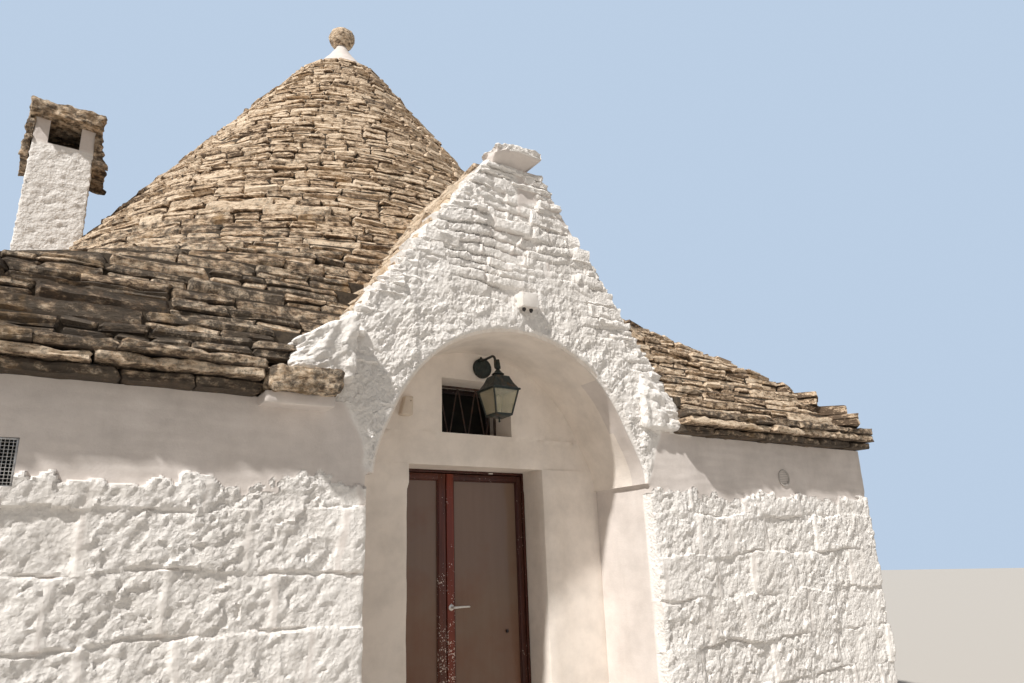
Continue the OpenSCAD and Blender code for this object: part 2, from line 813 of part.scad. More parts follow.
floor();
porch_floor();
front_wall_left();
front_wall_right();
party_wall_left();
party_wall_right();
rear_wall();
door_wall_left();
door_wall_right();
window_wall();
gable_wall();
gable_cap_stone();
porch_roof_left();
porch_roof_right();
porch_ridge();
eaves_front_left();
eaves_front_right();
eaves_rear();
eaves_end_stone();
eaves_corbel();
haunch_front_left();
haunch_front_right();
haunch_rear_left();
haunch_rear_right();
cone_front_left();
cone_front_right();
cone_rear_left();
cone_rear_right();
cone_crown();
plaster_cap();
finial_stone();
chimney_shaft();
chimney_cap_slab();
chimney_side_slab_left();
chimney_side_slab_right();
door_frame();
narrow_leaf();
narrow_leaf_pane();
main_leaf();
main_leaf_pane();
door_lever();
window_grille();
window_sash();
window_pane();
lantern_bracket();
lantern_cage();
lantern_panes();
mesh_vent();
round_vent();
junction_box();
arch_box();
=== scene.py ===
import math

import bmesh
import bpy
import numpy as np
from mathutils import Matrix, Vector


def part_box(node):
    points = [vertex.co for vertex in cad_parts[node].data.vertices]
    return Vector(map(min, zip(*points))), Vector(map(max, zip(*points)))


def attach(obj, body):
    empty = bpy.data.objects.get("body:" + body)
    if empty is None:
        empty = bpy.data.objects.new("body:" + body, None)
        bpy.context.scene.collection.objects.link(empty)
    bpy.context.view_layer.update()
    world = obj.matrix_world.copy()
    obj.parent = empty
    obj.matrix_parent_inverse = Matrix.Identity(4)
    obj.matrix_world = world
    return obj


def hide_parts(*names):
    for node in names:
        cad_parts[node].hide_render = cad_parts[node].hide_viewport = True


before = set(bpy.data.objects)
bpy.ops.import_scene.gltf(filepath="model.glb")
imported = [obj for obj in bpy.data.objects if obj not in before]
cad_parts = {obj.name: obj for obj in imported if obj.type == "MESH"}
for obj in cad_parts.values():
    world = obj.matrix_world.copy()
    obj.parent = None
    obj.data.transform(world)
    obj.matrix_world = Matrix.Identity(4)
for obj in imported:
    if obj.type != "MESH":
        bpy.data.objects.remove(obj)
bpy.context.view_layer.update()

# The photographer stands on the left of the door, a little over 4 m from the front wall, and looks up.
scene = bpy.context.scene
camera_place = Vector((-2.836, -8.117, 1.494))
camera_turn = math.radians(33.92)
camera_pitch = math.radians(17.07)
camera_roll = math.radians(-2.1)
camera = bpy.data.objects.new("photo_camera", bpy.data.cameras.new("photo_camera"))
camera.data.lens = 25.63
camera.data.sensor_width = 36.0
camera.data.clip_end = 200.0
camera.matrix_world = (Matrix.Translation(camera_place) @ Matrix.Rotation(-camera_turn, 4, "Z")
                       @ Matrix.Rotation(math.pi / 2 + camera_pitch, 4, "X")
                       @ Matrix.Rotation(camera_roll, 4, "Z"))
scene.collection.objects.link(camera)
scene.camera = camera
scene.view_settings.view_transform = "Standard"

# Soft light: one broad lamp from the left and above, as the sun stands, and an even pale surround.
lamp = bpy.data.objects.new("sun_lamp", bpy.data.lights.new("sun_lamp", "SUN"))
lamp.data.energy = 4.55
lamp.data.angle = math.radians(2.0)
lamp.data.color = (1.0, 0.965, 0.92)
lamp.rotation_euler = Vector((0.61, 0.285, -0.74)).to_track_quat("-Z", "Y").to_euler()
scene.collection.objects.link(lamp)
scene.world = bpy.data.worlds.new("surround")
scene.world.use_nodes = True
sky = scene.world.node_tree
sky.nodes.clear()
rays, seen, glow, either, mirrored, any_view, sky_out = (
    sky.nodes.new("ShaderNode" + kind)
    for kind in ("LightPath", "Background", "Background", "MixShader", "Math", "Math", "OutputWorld"))
seen.inputs["Color"].default_value = (0.50, 0.62, 0.78, 1.0)
glow.inputs["Color"].default_value = (1.0, 0.96, 0.935, 1.0)
glow.inputs["Strength"].default_value = 0.29
mirrored.operation = any_view.operation = "ADD"
any_view.use_clamp = True
for source, target in ((rays.outputs["Is Glossy Ray"], mirrored.inputs[0]),
                       (rays.outputs["Is Transmission Ray"], mirrored.inputs[1]),
                       (rays.outputs["Is Camera Ray"], any_view.inputs[0]),
                       (mirrored.outputs[0], any_view.inputs[1]), (any_view.outputs[0], either.inputs["Fac"]),
                       (glow.outputs[0], either.inputs[1]), (seen.outputs[0], either.inputs[2]),
                       (either.outputs[0], sky_out.inputs["Surface"])):
    sky.links.new(source, target)


# A plain pale floor under the house, which is not part of it and only gives it a ground to stand on. The
# shading of every piece starts from the same few calls.
class Finish:
    """A material, and short calls for the shader nodes behind its colour, gloss and relief."""

    def __init__(self, name, roughness, **settings):
        self.material = bpy.data.materials.new(name)
        self.material.use_nodes = True
        self.tree = self.material.node_tree
        self.surface = self.tree.nodes["Principled BSDF"]
        self.place = self.node("TexCoord").outputs["Object"]
        for socket, value in {"Roughness": roughness, **settings}.items():
            self.feed(self.surface.inputs[socket], value)

    def feed(self, socket, value):
        if isinstance(value, bpy.types.NodeSocket):
            self.tree.links.new(value, socket)
        else:
            socket.default_value = value

    def node(self, kind, *values, **settings):
        """A node with its properties and sockets set by name, or its sockets in their order."""
        node = self.tree.nodes.new("ShaderNode" + kind)
        for key, value in settings.items():
            if hasattr(node, key):
                setattr(node, key, value)
            else:
                self.feed(node.inputs[key], value)
        for socket, value in zip(node.inputs, values):
            self.feed(socket, value)
        return node

    def maths(self, operation, *values):
        return self.node("Math", *values, operation=operation).outputs[0]

    def sum(self, value, factor, added):
        return self.maths("MULTIPLY_ADD", value, factor, added)

    def stretched(self, *scale):
        return self.node("Mapping", Vector=self.place, Scale=scale).outputs["Vector"]

    def height(self, vector=None):
        return self.node("SeparateXYZ", vector or self.place).outputs["Z"]

    def share_of(self, label):
        """What a piece says of itself at each point under a label."""
        return self.node("Attribute", attribute_name=label).outputs["Fac"]

    def mottle(self, scale, detail=4.0, roughness=0.55, place=None):
        """Soft random patches from 0 to 1."""
        return self.node("TexNoise", Vector=place or self.place, Scale=scale, Detail=detail,
                         Roughness=roughness).outputs["Fac"]

    def ramp(self, value, *stops):
        """Colours, or plain shares, that follow a value from 0 to 1 through the given stops."""
        node = self.node("ValToRGB", value)
        while len(node.color_ramp.elements) < len(stops):
            node.color_ramp.elements.new(0.5)
        for element, (spot, colour) in zip(node.color_ramp.elements, stops):
            element.position = spot
            element.color = (*colour, 1.0) if isinstance(colour, tuple) else (colour, colour, colour, 1.0)
        return node.outputs["Color"]

    def mix(self, share, first, second, mode="MIX"):
        node = self.node("Mix", data_type="RGBA", blend_type=mode)
        for at, value in ((0, share), (6, first), (7, second)):
            self.feed(node.inputs[at], (*value, 1.0) if isinstance(value, tuple) else value)
        return node.outputs[2]

    def done(self, colour, relief=None, strength=1.0, distance=0.0, roughness=None):
        """Joins the colour, and the relief and gloss if they vary, to the surface."""
        self.feed(self.surface.inputs["Base Color"], colour)
        if roughness:
            self.feed(self.surface.inputs["Roughness"], roughness)
        if relief:
            bump = self.node("Bump", Height=relief, Strength=strength, Distance=distance)
            self.feed(self.surface.inputs["Normal"], bump.outputs["Normal"])
        return self.material


def placed(name, mesh, finish=None, smooth_angle=None):
    """The object of a mesh, with its finish and its edges smooth up to an angle."""
    if smooth_angle:
        mesh.shade_smooth()
        mesh.set_sharp_from_angle(angle=math.radians(smooth_angle))
    if finish:
        mesh.materials.append(finish)
    piece = bpy.data.objects.new(name, mesh)
    scene.collection.objects.link(piece)
    return piece


def plain_mesh(name, points, faces, finish=None):
    mesh = bpy.data.meshes.new(name)
    mesh.from_pydata(points, [], faces)
    return placed(name, mesh, finish)


floor_reach = 60.0
pale_floor = Finish("pale_floor", 0.9).done((0.50, 0.475, 0.44, 1.0))
plain_mesh("stage_floor",
                    [(x * floor_reach, y * floor_reach, 0) for x, y in ((-1, -1), (1, -1), (1, 1), (-1, 1))],
                    [(0, 1, 2, 3)], pale_floor)


# Front walls on both sides of the porch: 1.2 m of limestone rubble, faced with pecked blocks in courses
# of about 0.3 m, bedded in lime mortar and limewashed many times. Under the eaves runs a band of smooth
# plaster, and the jambs of the porch are plastered with soft corners.
def grain(points, size, seed):
    """Smooth random relief of about -1 to 1 with lumps of the given size, at any points in space."""
    rng = np.random.RandomState(seed)
    order = rng.permutation(256)
    slopes = rng.normal(size=(256, 3))
    slopes /= np.linalg.norm(slopes, axis=1)[:, None]
    scaled = np.asarray(points, float) / size
    cell = np.floor(scaled).astype(int)
    local = scaled - cell
    ease = local ** 3 * (local * (local * 6 - 15) + 10)
    total = np.zeros(len(scaled))
    for step in np.ndindex(2, 2, 2):
        step = np.array(step)
        spot = (cell + step) & 255
        pick = order[(order[(order[spot[:, 0]] + spot[:, 1]) & 255] + spot[:, 2]) & 255]
        weight = np.prod(np.where(step == 1, ease, 1 - ease), axis=1)
        total += weight * np.einsum("ij,ij->i", slopes[pick], local - step)
    return total * 1.7


def rise(value, low, high):
    """0 below low, 1 above high, and an eased slope between them."""
    share = np.clip((value - low) / (high - low), 0, 1)
    return share * share * (3 - 2 * share)


def between(first, second, share):
    return first * (1 - share) + second * share


def chips(along, height, size, seed):
    """Facets left by a mason's pick: small planes with sharp rims, each tilted its own way. About -1 to 1."""
    table = np.random.RandomState(seed).uniform(-1, 1, size=(64, 64, 5))
    u, v = along / size, height / size
    cell_u, cell_v = np.floor(u).astype(int), np.floor(v).astype(int)
    nearest, facet = np.full(len(u), 9.0), np.zeros(len(u))
    for du, dv in np.ndindex(3, 3):
        near_u, near_v = cell_u + du - 1, cell_v + dv - 1
        draws = table[near_u & 63, near_v & 63]
        off_u = u - (near_u + 0.5 + 0.42 * draws[:, 0])
        off_v = v - (near_v + 0.5 + 0.42 * draws[:, 1])
        far = off_u ** 2 + off_v ** 2
        tilted = 0.55 * draws[:, 2] + 0.9 * (draws[:, 3] * off_u + draws[:, 4] * off_v)
        facet = np.where(far < nearest, tilted, facet)
        nearest = np.minimum(far, nearest)
    return facet


def pecked(points, seed, scale=1.0):
    """The marks of a mason's pick: sharp chips that slant up to the right, a few centimetres long."""
    across = points[:, 0] + points[:, 1]
    bent = 0.016 * grain(points, 0.055, seed + 3)
    along = 0.62 * (0.80 * across + 0.60 * points[:, 2]) + bent
    height = 0.80 * points[:, 2] - 0.60 * across + bent
    return (0.0085 * scale * chips(along, height, 0.058 * scale, seed)
            + 0.0055 * scale * chips(along + 0.3, height, 0.031 * scale, seed + 1)
            + 0.003 * grain(points, 0.018, seed + 2))


def coursed(along, height, seed, span, courses, lengths, smear):
    """Blocks of a coursed wall: each one's own stand from the wall, run together by mortar at the upright
    joints, how much of the face shows at each point, and one more random number for each block."""
    rng = np.random.RandomState(seed)
    levels = [span[2]]
    while levels[-1] < span[3]:
        levels.append(levels[-1] + rng.uniform(*courses))
    levels = np.array(levels)
    row = np.clip(np.searchsorted(levels, height) - 1, 0, len(levels) - 2)
    level_gap = np.minimum(height - levels[row], levels[row + 1] - height)
    stand, shows, chance = np.zeros((3, len(along)))
    for i in range(len(levels) - 1):
        joints = [span[0] - rng.uniform(0, lengths[1])]
        while joints[-1] < span[1] + lengths[1]:
            joints.append(joints[-1] + rng.uniform(*lengths))
        joints = np.array(joints)
        draws = rng.uniform(-1, 1, size=(len(joints) + 1, 2))
        here = row == i
        block = np.clip(np.searchsorted(joints, along[here]) - 1, 0, len(joints) - 2)
        before, after = along[here] - joints[block], joints[block + 1] - along[here]
        nearest = np.clip(np.where(before < after, block - 1, block + 1), 0, len(joints) - 1)
        gap = np.minimum(before, after)
        own = 0.5 + 0.5 * rise(gap, 0.0, smear)
        stand[here] = draws[block, 0] * own + draws[nearest, 0] * (1 - own)
        shows[here] = rise(gap, 0.25 * smear, smear)
        chance[here] = draws[block, 1]
    return stand, shows, chance, level_gap


band_foot = 1.98
gable_foot = 2.45
arch_centre_h = 2.054
arch_radius = 1.04


def facade_relief(along, height, seed=11):
    """How far the front stands out from its plane, for walls and gable alike, in metres, and how rough the
    limewash is there, from 0 for smooth plaster to 1."""
    flat = np.column_stack([along, np.full(len(along), seed * 3.7), height])

    def lumps_of(size, number, at=flat):
        return grain(at, size, seed + number)

    warp = 0.045 * lumps_of(0.42, 2) + 0.014 * lumps_of(0.10, 3)
    patch = rise(lumps_of(0.50, 4), -0.40, 0.30)
    stand, shows, chance, level_gap = coursed(along + warp, height + warp, seed, (-4.1, 4.1, 0.0, 2.2),
                                              (0.27, 0.36), (0.38, 0.85), 0.040)
    joint = (1 - rise(level_gap, 0.0, 0.016)) * rise(lumps_of(0.33, 1), -0.10, 0.40)
    rough = (0.30 + 0.70 * shows) * (0.80 + 0.20 * chance + 0.20 * patch) * (1 - 0.7 * joint)
    rough *= 1 - 0.45 * (1 - rise(np.abs(along), 1.20, 1.55)) * rise(-along, 0.0, 0.5)
    blocks = 0.020 + 0.017 * stand * (0.4 + 0.6 * shows) - 0.026 * joint
    blocks += 1.22 * rough * pecked(flat, seed + 5) + 0.010 * lumps_of(0.16, 6)
    band = 0.004 * lumps_of(0.35, 8) + 0.0026 * lumps_of(0.075, 9, flat * np.array([0.35, 1, 1.9]))
    band_line = band_foot + 0.06 * lumps_of(0.26, 10) + 0.05 * lumps_of(0.06, 11) + 0.022 * lumps_of(0.03, 12)
    to_band = rise(height, band_line - 0.007, band_line + 0.007)

    stand, shows, chance, level_gap = coursed(along + 1.5 * warp, height + 0.9 * warp, seed + 20,
                                              (-2.0, 2.0, 2.3, 4.7), (0.060, 0.115), (0.12, 0.42), 0.022)
    joint = 1 - rise(level_gap, 0.0, 0.014)
    rubble_rough = (0.25 + 0.75 * shows) * (0.75 + 0.25 * chance)
    rubble = (0.010 + 0.021 * stand * shows - 0.024 * joint * (0.4 + 0.6 * patch)
              + 1.25 * rubble_rough * pecked(flat, seed + 22, 0.75))
    lumps = 0.012 + 1.25 * pecked(flat, seed + 24, 0.62) + 0.014 * lumps_of(0.13, 25)
    lumps += 0.007 * lumps_of(0.055, 28)
    from_arch = np.hypot(along, height - arch_centre_h) + 0.22 * lumps_of(0.40, 26)
    from_arch -= 0.22 * rise(-along, 0.0, 1.0)
    to_rubble = rise(from_arch, 1.30, 1.55)
    smear = 0.6 * rise(lumps_of(0.24, 31) + 0.5 * lumps_of(0.06, 32), 0.34, 0.70)
    smooth_cap = rise(height + 0.55 * np.abs(along - 0.16), 4.10, 4.22) * rise(along, -0.03, 0.06)
    gable = between(between(between(lumps, rubble, to_rubble), 0.010 + band, smear), band, smooth_cap)
    gable_rough = between(1, rubble_rough, to_rubble) * (1 - 0.9 * smear) * (1 - smooth_cap)
    gable_edge = 1.22 + 0.35 * (height - 2.30) + 0.05 * lumps_of(0.2, 27)
    to_gable = rise(height, 2.02, 2.16) * (1 - rise(np.abs(along), gable_edge - 0.04, gable_edge + 0.04))
    to_gable = np.where(height > gable_foot + 0.02, 1.0, to_gable)
    return (between(between(blocks, band, to_band), gable, to_gable) + 0.009 * lumps_of(0.9, 30),
            between(rough * (1 - to_band), gable_rough, to_gable))


def plaster_relief(points, seed):
    return 0.0035 * grain(points, 0.30, seed) + 0.0010 * grain(points, 0.05, seed + 1)


def grid_faces(rows, columns, close_rows=False):
    """Four-cornered faces between the neighbours of a grid of points, numbered row by row."""
    row = np.arange(rows if close_rows else rows - 1)[:, None]
    column = np.arange(columns - 1)[None, :]
    first = (row * columns + column).ravel()
    after = ((row + 1) % rows * columns + column).ravel()
    return np.column_stack([first, first + 1, after + 1, after])


def make_piece(name, points, quads, others=(), finish=None, smooth_angle=40.0):
    """A mesh object from a point array, an array of four-cornered faces and a list of other faces."""
    mesh = bpy.data.meshes.new(name)
    corners = np.concatenate([quads.ravel(), *others]).astype(np.int32)
    sizes = [4] * len(quads) + [len(face) for face in others]
    mesh.vertices.add(len(points))
    mesh.vertices.foreach_set("co", np.asarray(points, np.float32).ravel())
    mesh.loops.add(len(corners))
    mesh.loops.foreach_set("vertex_index", corners)
    mesh.polygons.add(len(sizes))
    mesh.polygons.foreach_set("loop_start", np.cumsum([0] + sizes[:-1]).astype(np.int32))
    mesh.update(calc_edges=True)
    mesh.validate()
    return placed(name, mesh, finish, smooth_angle)


def steps(start, end, spacing):
    return np.linspace(start, end, max(2, int(round(abs(end - start) / spacing)) + 1))


def wall_prism(name, plan, sides, rows_h, finish, soft_below=99.0):
    """A wall that stands on a plan of straight sides, given in order round it. Each side holds its point
    spacing and its relief, a function of places on it; a side without relief stays flat. rows_h are the
    heights of its rows of points, and its upright corners are soft up to the given height."""
    corner_soft = 0.035
    edges = list(zip(np.array(plan), np.roll(plan, -1, axis=0)))
    columns = []
    for (start, end), (spacing, relief) in zip(edges, sides):
        count = max(1, int(round(np.linalg.norm(end - start) / spacing)))
        columns += [start + (end - start) * j / count for j in range(count)]
    flat = np.column_stack([np.repeat(columns, len(rows_h), axis=0), np.tile(rows_h, len(columns))])
    moved = flat.copy()
    for (start, end), (spacing, relief) in zip(edges, sides):
        if relief is None:
            continue
        length = np.linalg.norm(end - start)
        run = (end - start) / length
        outward = np.array([run[1], -run[0]])
        on_side = np.abs((flat[:, :2] - start) @ outward) < 1e-6
        along = ((flat[:, :2] - start) @ run)[on_side]
        near_end = np.minimum(along, length - along)
        soft = 1 - rise(flat[on_side, 2], soft_below - 0.03, soft_below)
        push = relief(flat[on_side]) - corner_soft * 0.3 * (1 - rise(near_end, 0.0, corner_soft)) * soft
        moved[on_side, :2] += push[:, None] * outward
    lower = np.arange(len(columns)) * len(rows_h)
    return make_piece(name, moved, grid_faces(len(columns), len(rows_h), close_rows=True),
                      [lower[::-1], lower + len(rows_h) - 1], finish)


def limewash_finish(name, chalk, shade, stain, stain_share, smooth_shade):
    """Many coats of limewash: chalky white, a little warmer where thick, grey where rain has run. Where the
    piece says rough, the pick's marks go on down to a centimetre."""
    wash = Finish(name, 0.92)
    coats = wash.ramp(wash.mottle(1.7), (0.35, shade), (0.62, chalk))
    runs = wash.ramp(wash.mottle(1.0, 6.0, 0.6, wash.stretched(5.0, 5.0, 0.7)), (0.50, 0.0),
                     (0.78, stain_share))
    rough = wash.share_of("rough")
    # Smooth plaster is tinted darker than pecked faces: partly a greyer plaster, partly painted shade that
    # deepens the eaves' shadow on the band under them.
    handled = wash.ramp(wash.sum(wash.mottle(4.5, 7.0, 0.65), 0.5, rough),
                        (0.17, tuple(0.86 * share for share in smooth_shade)),
                        (0.30, smooth_shade), (0.60, 1.0))
    bent = wash.node("TexNoise", Vector=wash.place, Scale=24.0, Detail=2.0).outputs["Color"]
    warped = wash.node("VectorMath", bent, (0.03, 0.03, 0.03), wash.place,
                       operation="MULTIPLY_ADD").outputs[0]
    facets = wash.node("TexVoronoi", Vector=warped, Scale=42.0).outputs["Distance"]
    marks = wash.maths("MULTIPLY", wash.sum(facets, 0.7, wash.mottle(38.0, 8.0, 0.75)), rough)
    return wash.done(wash.mix(1.0, wash.mix(runs, coats, stain), handled, "MULTIPLY"),
                     wash.sum(wash.mottle(70.0, 6.0, 0.7), 0.16, marks), 0.9, 0.013)


def mark(piece, **shares):
    """Tells a finish how rough or how worn a piece is, at each of its points or all over."""
    for label, share in shares.items():
        layer = piece.data.attributes.new(label, "FLOAT", "POINT")
        layer.data.foreach_set("value", np.broadcast_to(share, len(piece.data.vertices)).astype(np.float32))
    return piece


def corners_of(piece):
    places = np.zeros(len(piece.data.vertices) * 3, np.float32)
    piece.data.vertices.foreach_get("co", places)
    return places.reshape(-1, 3).astype(float)


limewash = limewash_finish("limewash_on_rubble", (0.895, 0.865, 0.83), (0.84, 0.805, 0.765),
                           (0.60, 0.555, 0.50), 0.28, (0.84, 0.800, 0.785))
fine_step = 0.0115
side_step = 0.07
jamb_step = 0.045
front_rows = np.concatenate([steps(0.0, 2.09, fine_step), steps(2.11, 2.45, 0.017)])
room_back = -2.8
jamb_x = 1.14
half_house = 4.0


def front_face(points):
    return facade_relief(points[:, 0], points[:, 2])[0]


def jamb_face(points):
    near_arch = rise(points[:, 2], arch_centre_h - 0.02, arch_centre_h)
    return plaster_relief(points, 61) - 0.004 + 0.010 * near_arch


def party_face(points):
    """The plain party walls: roughly squared rubble, kept inside the line between two houses."""
    flat = np.column_stack([points[:, 1] + 4.0 * np.sign(points[:, 0]), points[:, 0], points[:, 2]])
    stand, shows, chance, level_gap = coursed(flat[:, 0], flat[:, 2], 71, (-9.0, 9.0, 0.0, 2.6),
                                              (0.20, 0.30), (0.28, 0.60), 0.03)
    joint = 1 - rise(level_gap, 0.0, 0.03)
    return np.minimum(-0.018 + 0.008 * stand * shows - 0.010 * joint + 0.006 * grain(flat, 0.07, 73), 0.0)


def settle(piece, body, slot, *nodes):
    """Fixes a finished piece to the body it belongs to."""
    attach(piece, body)
    if nodes:
        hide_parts(*nodes)


def cut_out(piece, low, high, lining=None):
    """Cuts a box-shaped recess into a closed piece, with its own finish inside if it has one."""
    corners = [(x, y, z) for x in (low[0], high[0]) for y in (low[1], high[1]) for z in (low[2], high[2])]
    cutter = plain_mesh("cutter", corners, [(0, 1, 3, 2), (4, 6, 7, 5), (0, 4, 5, 1), (2, 3, 7, 6),
                                            (0, 2, 6, 4), (1, 5, 7, 3)], lining)
    cutting = piece.modifiers.new("recess", "BOOLEAN")
    cutting.operation = "DIFFERENCE"
    cutting.object = cutter
    cutting.solver = "EXACT"
    if lining:
        cutting.material_mode = "TRANSFER"
    shape = bpy.data.meshes.new_from_object(piece.evaluated_get(bpy.context.evaluated_depsgraph_get()))
    piece.modifiers.clear()
    piece.data = shape
    bpy.data.objects.remove(cutter)


party, front, jamb = (side_step, party_face), (fine_step, front_face), (jamb_step, jamb_face)
flat_side = (2.0, None)
vent_low, vent_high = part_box("mesh_vent")
vent_recess = 0.15
old_coat = -0.30
for side, plan, sides in (
        ("left", [(-half_house, room_back), (-half_house, -half_house), (-jamb_x, -half_house),
                  (-jamb_x, room_back)], [party, front, jamb, flat_side]),
        ("right", [(jamb_x, room_back), (jamb_x, -half_house), (half_house, -half_house),
                   (half_house, room_back)], [jamb, front, party, flat_side])):
    wall = wall_prism("front_wall_" + side + "_masonry", plan, sides, front_rows, limewash, arch_centre_h)
    if side == "left":
        cut_out(wall, (vent_low.x, -half_house - 0.1, vent_low.z),
                (vent_high.x, -half_house + vent_recess, vent_high.z))
    corners = corners_of(wall)
    on_party = np.abs(corners[:, 0]) > half_house - 0.05
    on_front = np.abs(corners[:, 1] + half_house) < np.where(on_party, 0.045, 0.08)
    mark(wall, rough=np.where(on_front, facade_relief(corners[:, 0], corners[:, 2])[1], old_coat * on_party))
    settle(wall, "house", "limewashed_wall", "front_wall_" + side)


# Party walls and rear wall: the same rubble, plainly coursed; the rear wall is limewashed like the front.
def rear_face(points):
    return facade_relief(np.abs(points[:, 0]) + 0.9, np.minimum(points[:, 2], 2.0), seed=37)[0] * 0.9


rear_step = 0.037
open_side = (8.0, None)
for side, plan, sides in (
        ("left", [(-half_house, -room_back), (-half_house, room_back), (room_back, room_back),
                  (room_back, -room_back)], [party, flat_side, open_side, flat_side]),
        ("right", [(-room_back, room_back), (half_house, room_back), (half_house, -room_back),
                   (-room_back, -room_back)], [flat_side, party, flat_side, open_side])):
    wall = wall_prism("party_wall_" + side + "_masonry", plan, sides, steps(0.0, gable_foot, side_step),
                      limewash)
    mark(wall, rough=old_coat)
    settle(wall, "house", "limewashed_wall", "party_wall_" + side)
rear = wall_prism(
    "rear_wall_masonry",
    [(half_house, -room_back), (half_house, half_house), (-half_house, half_house),
     (-half_house, -room_back)],
    [party, (rear_step, rear_face), party, open_side], steps(0.0, gable_foot, rear_step), limewash)
mark(rear, rough=np.where(corners_of(rear)[:, 1] > half_house - 0.045, 0.65, old_coat))
settle(rear, "house", "limewashed_wall", "rear_wall")

# Gable: a wall over a round arch that stands back on a ledge above the jambs. Its face is thin rubble
# courses under limewash, lumpy plaster round the arch, and smooth plaster on the soffit.
gable_apex_h = 4.76
gable_run = 3.35 / 2 / (gable_apex_h - gable_foot)
ridge_h = 4.43
verge_inset = 0.035
porch_back = -3.38
arris_soft = 0.018
core_front = -3.90


def verge_x(height):
    return (gable_apex_h - height) * gable_run


def gable_outline(spacing=0.0132):
    """Points along the outer edge from the right springing to the left one, with the share of the arch
    that faces each point."""
    half = [(jamb_x, arch_centre_h, 0.0), (jamb_x, gable_foot, 0.075),
            (verge_x(gable_foot) - verge_inset, gable_foot, 0.12),
            (verge_x(ridge_h) - verge_inset + 0.03, ridge_h, 0.46)]
    corners = np.array(half + [(-x, z, 1 - share) for x, z, share in half[::-1]])
    outline = [corners[:1]]
    for start, end in zip(corners[:-1], corners[1:]):
        count = max(2, int(round(np.hypot(*(end - start)[:2]) / spacing)))
        outline.append(start + (end - start) * (np.arange(1, count + 1) / count)[:, None])
    return np.concatenate(outline)


def gable_mesh():
    """The soffit from the back to the arris, the face from the arris to the outer edge, and the core."""
    outline = gable_outline()
    turn = math.pi * outline[:, 2]
    inner_r = (arch_radius + 0.075 * (1 - rise(turn, 0.0, 0.42))
               + 0.05 * (1 - rise(math.pi - turn, 0.0, 0.42)))
    arch = np.column_stack([inner_r * np.cos(turn), inner_r * np.sin(turn)])
    centre = np.array([0.0, arch_centre_h])
    soffit = [(1.0, y) for y in steps(porch_back, -half_house + arris_soft, 0.045)]
    for bend in (0.2, 0.4, 0.6, 0.8):
        angle = bend * math.pi / 2
        soffit.append((1 + arris_soft * (1 - math.cos(angle)) / arch_radius,
                       -half_house + arris_soft * (1 - math.sin(angle))))
    points = []
    for grow, y in soffit:
        ring = arch * grow + centre
        flat = np.column_stack([ring[:, 0], np.full(len(arch), y), ring[:, 1]])
        flat[:, ::2] += plaster_relief(flat, 83)[:, None] * (centre * np.array([1, 1]) - ring) / arch_radius
        points.append(flat)
    start = arch * (1 + arris_soft / arch_radius) + centre
    for share in np.linspace(0, 1, 100):
        ring = start + (outline[:, :2] - start) * share
        from_arris = np.hypot(ring[:, 0], ring[:, 1] - arch_centre_h) - inner_r
        push = facade_relief(ring[:, 0], ring[:, 1])[0]
        push = push * rise(from_arris, arris_soft - 0.010, arris_soft + 0.016)
        points.append(np.column_stack([ring[:, 0], -half_house - push, ring[:, 1]]))
    edge_back = points[-1].copy()
    edge_back[:, 1] = -half_house + 0.06
    core_x = np.maximum(verge_x(outline[:, 1]) - 0.12, 0.06)
    core = np.column_stack([np.clip(outline[:, 0], -core_x, core_x), np.full(len(arch), core_front),
                            outline[:, 1]])
    core_back = core.copy()
    inner_x = np.minimum(np.maximum(verge_x(outline[:, 1]) - 0.25, 0.06), 1.40)
    core_back[:, 0] = np.clip(core[:, 0], -inner_x, inner_x)
    core_back[:, 1] = porch_back
    points += [edge_back, core, core_back]
    rows, columns = len(points), len(arch)
    cap = np.arange(rows) * columns
    return (np.concatenate(points), grid_faces(rows, columns, close_rows=True),
            [cap, (cap + columns - 1)[::-1]], len(soffit) * (columns - 1))


# Plaster inside the porch: the limewash with a warmer, creamier tint, which is painted bounce light.
plaster = limewash_finish("porch_plaster_with_painted_bounce_light", (0.90, 0.835, 0.77), (0.86, 0.79, 0.72), (0.62, 0.54, 0.45),
                          0.22, (0.99, 0.98, 0.97))
*gable_parts, soffit_faces = gable_mesh()
gable = make_piece("gable_masonry", *gable_parts, limewash)
gable.data.materials.append(plaster)
# Lit and shaded copies of one wash: the sunlit front foot of the soffit on the right keeps the white
# limewash; the rest takes the porch plaster's painted warm bounce light.
for face in gable.data.polygons[:soffit_faces]:
    sunlit_foot = face.center.x > 0.70 and face.center.y < -3.86 + 0.10 * (face.center.z - arch_centre_h)
    face.material_index = 0 if sunlit_foot else 1
corners = corners_of(gable)
mark(gable, rough=facade_relief(corners[:, 0], corners[:, 2])[1] * (corners[:, 1] < -half_house + 0.015))
settle(gable, "house", "limewashed_wall", "gable_wall")

# Porch inside: the wall with the doorway and the small window over it, plastered smooth with soft
# corners, on a stone floor one step up. A plastered box for the lamp wiring sits beside the window.
def box_lattice(low, high, spacing):
    """The surface of a box as a lattice of points: places from 0 to 1 along each side, and faces."""
    counts = np.maximum(1, np.round((high - low) / spacing)).astype(int)
    corners, quads, total = [], [], 0
    for axis, side in np.ndindex(3, 2):
        u, v = (axis + 1) % 3, (axis + 2) % 3
        i, j = np.meshgrid(np.arange(counts[u] + 1), np.arange(counts[v] + 1), indexing="ij")
        spots = np.zeros((i.size, 3), int)
        spots[:, axis] = counts[axis] * side
        spots[:, u], spots[:, v] = i.ravel(), j.ravel()
        face = grid_faces(counts[u] + 1, counts[v] + 1) + total
        quads.append(face[:, ::-1] if side else face)
        corners.append(spots)
        total += len(spots)
    spots, same = np.unique(np.concatenate(corners), axis=0, return_inverse=True)
    return spots / counts, same.ravel()[np.concatenate(quads)]


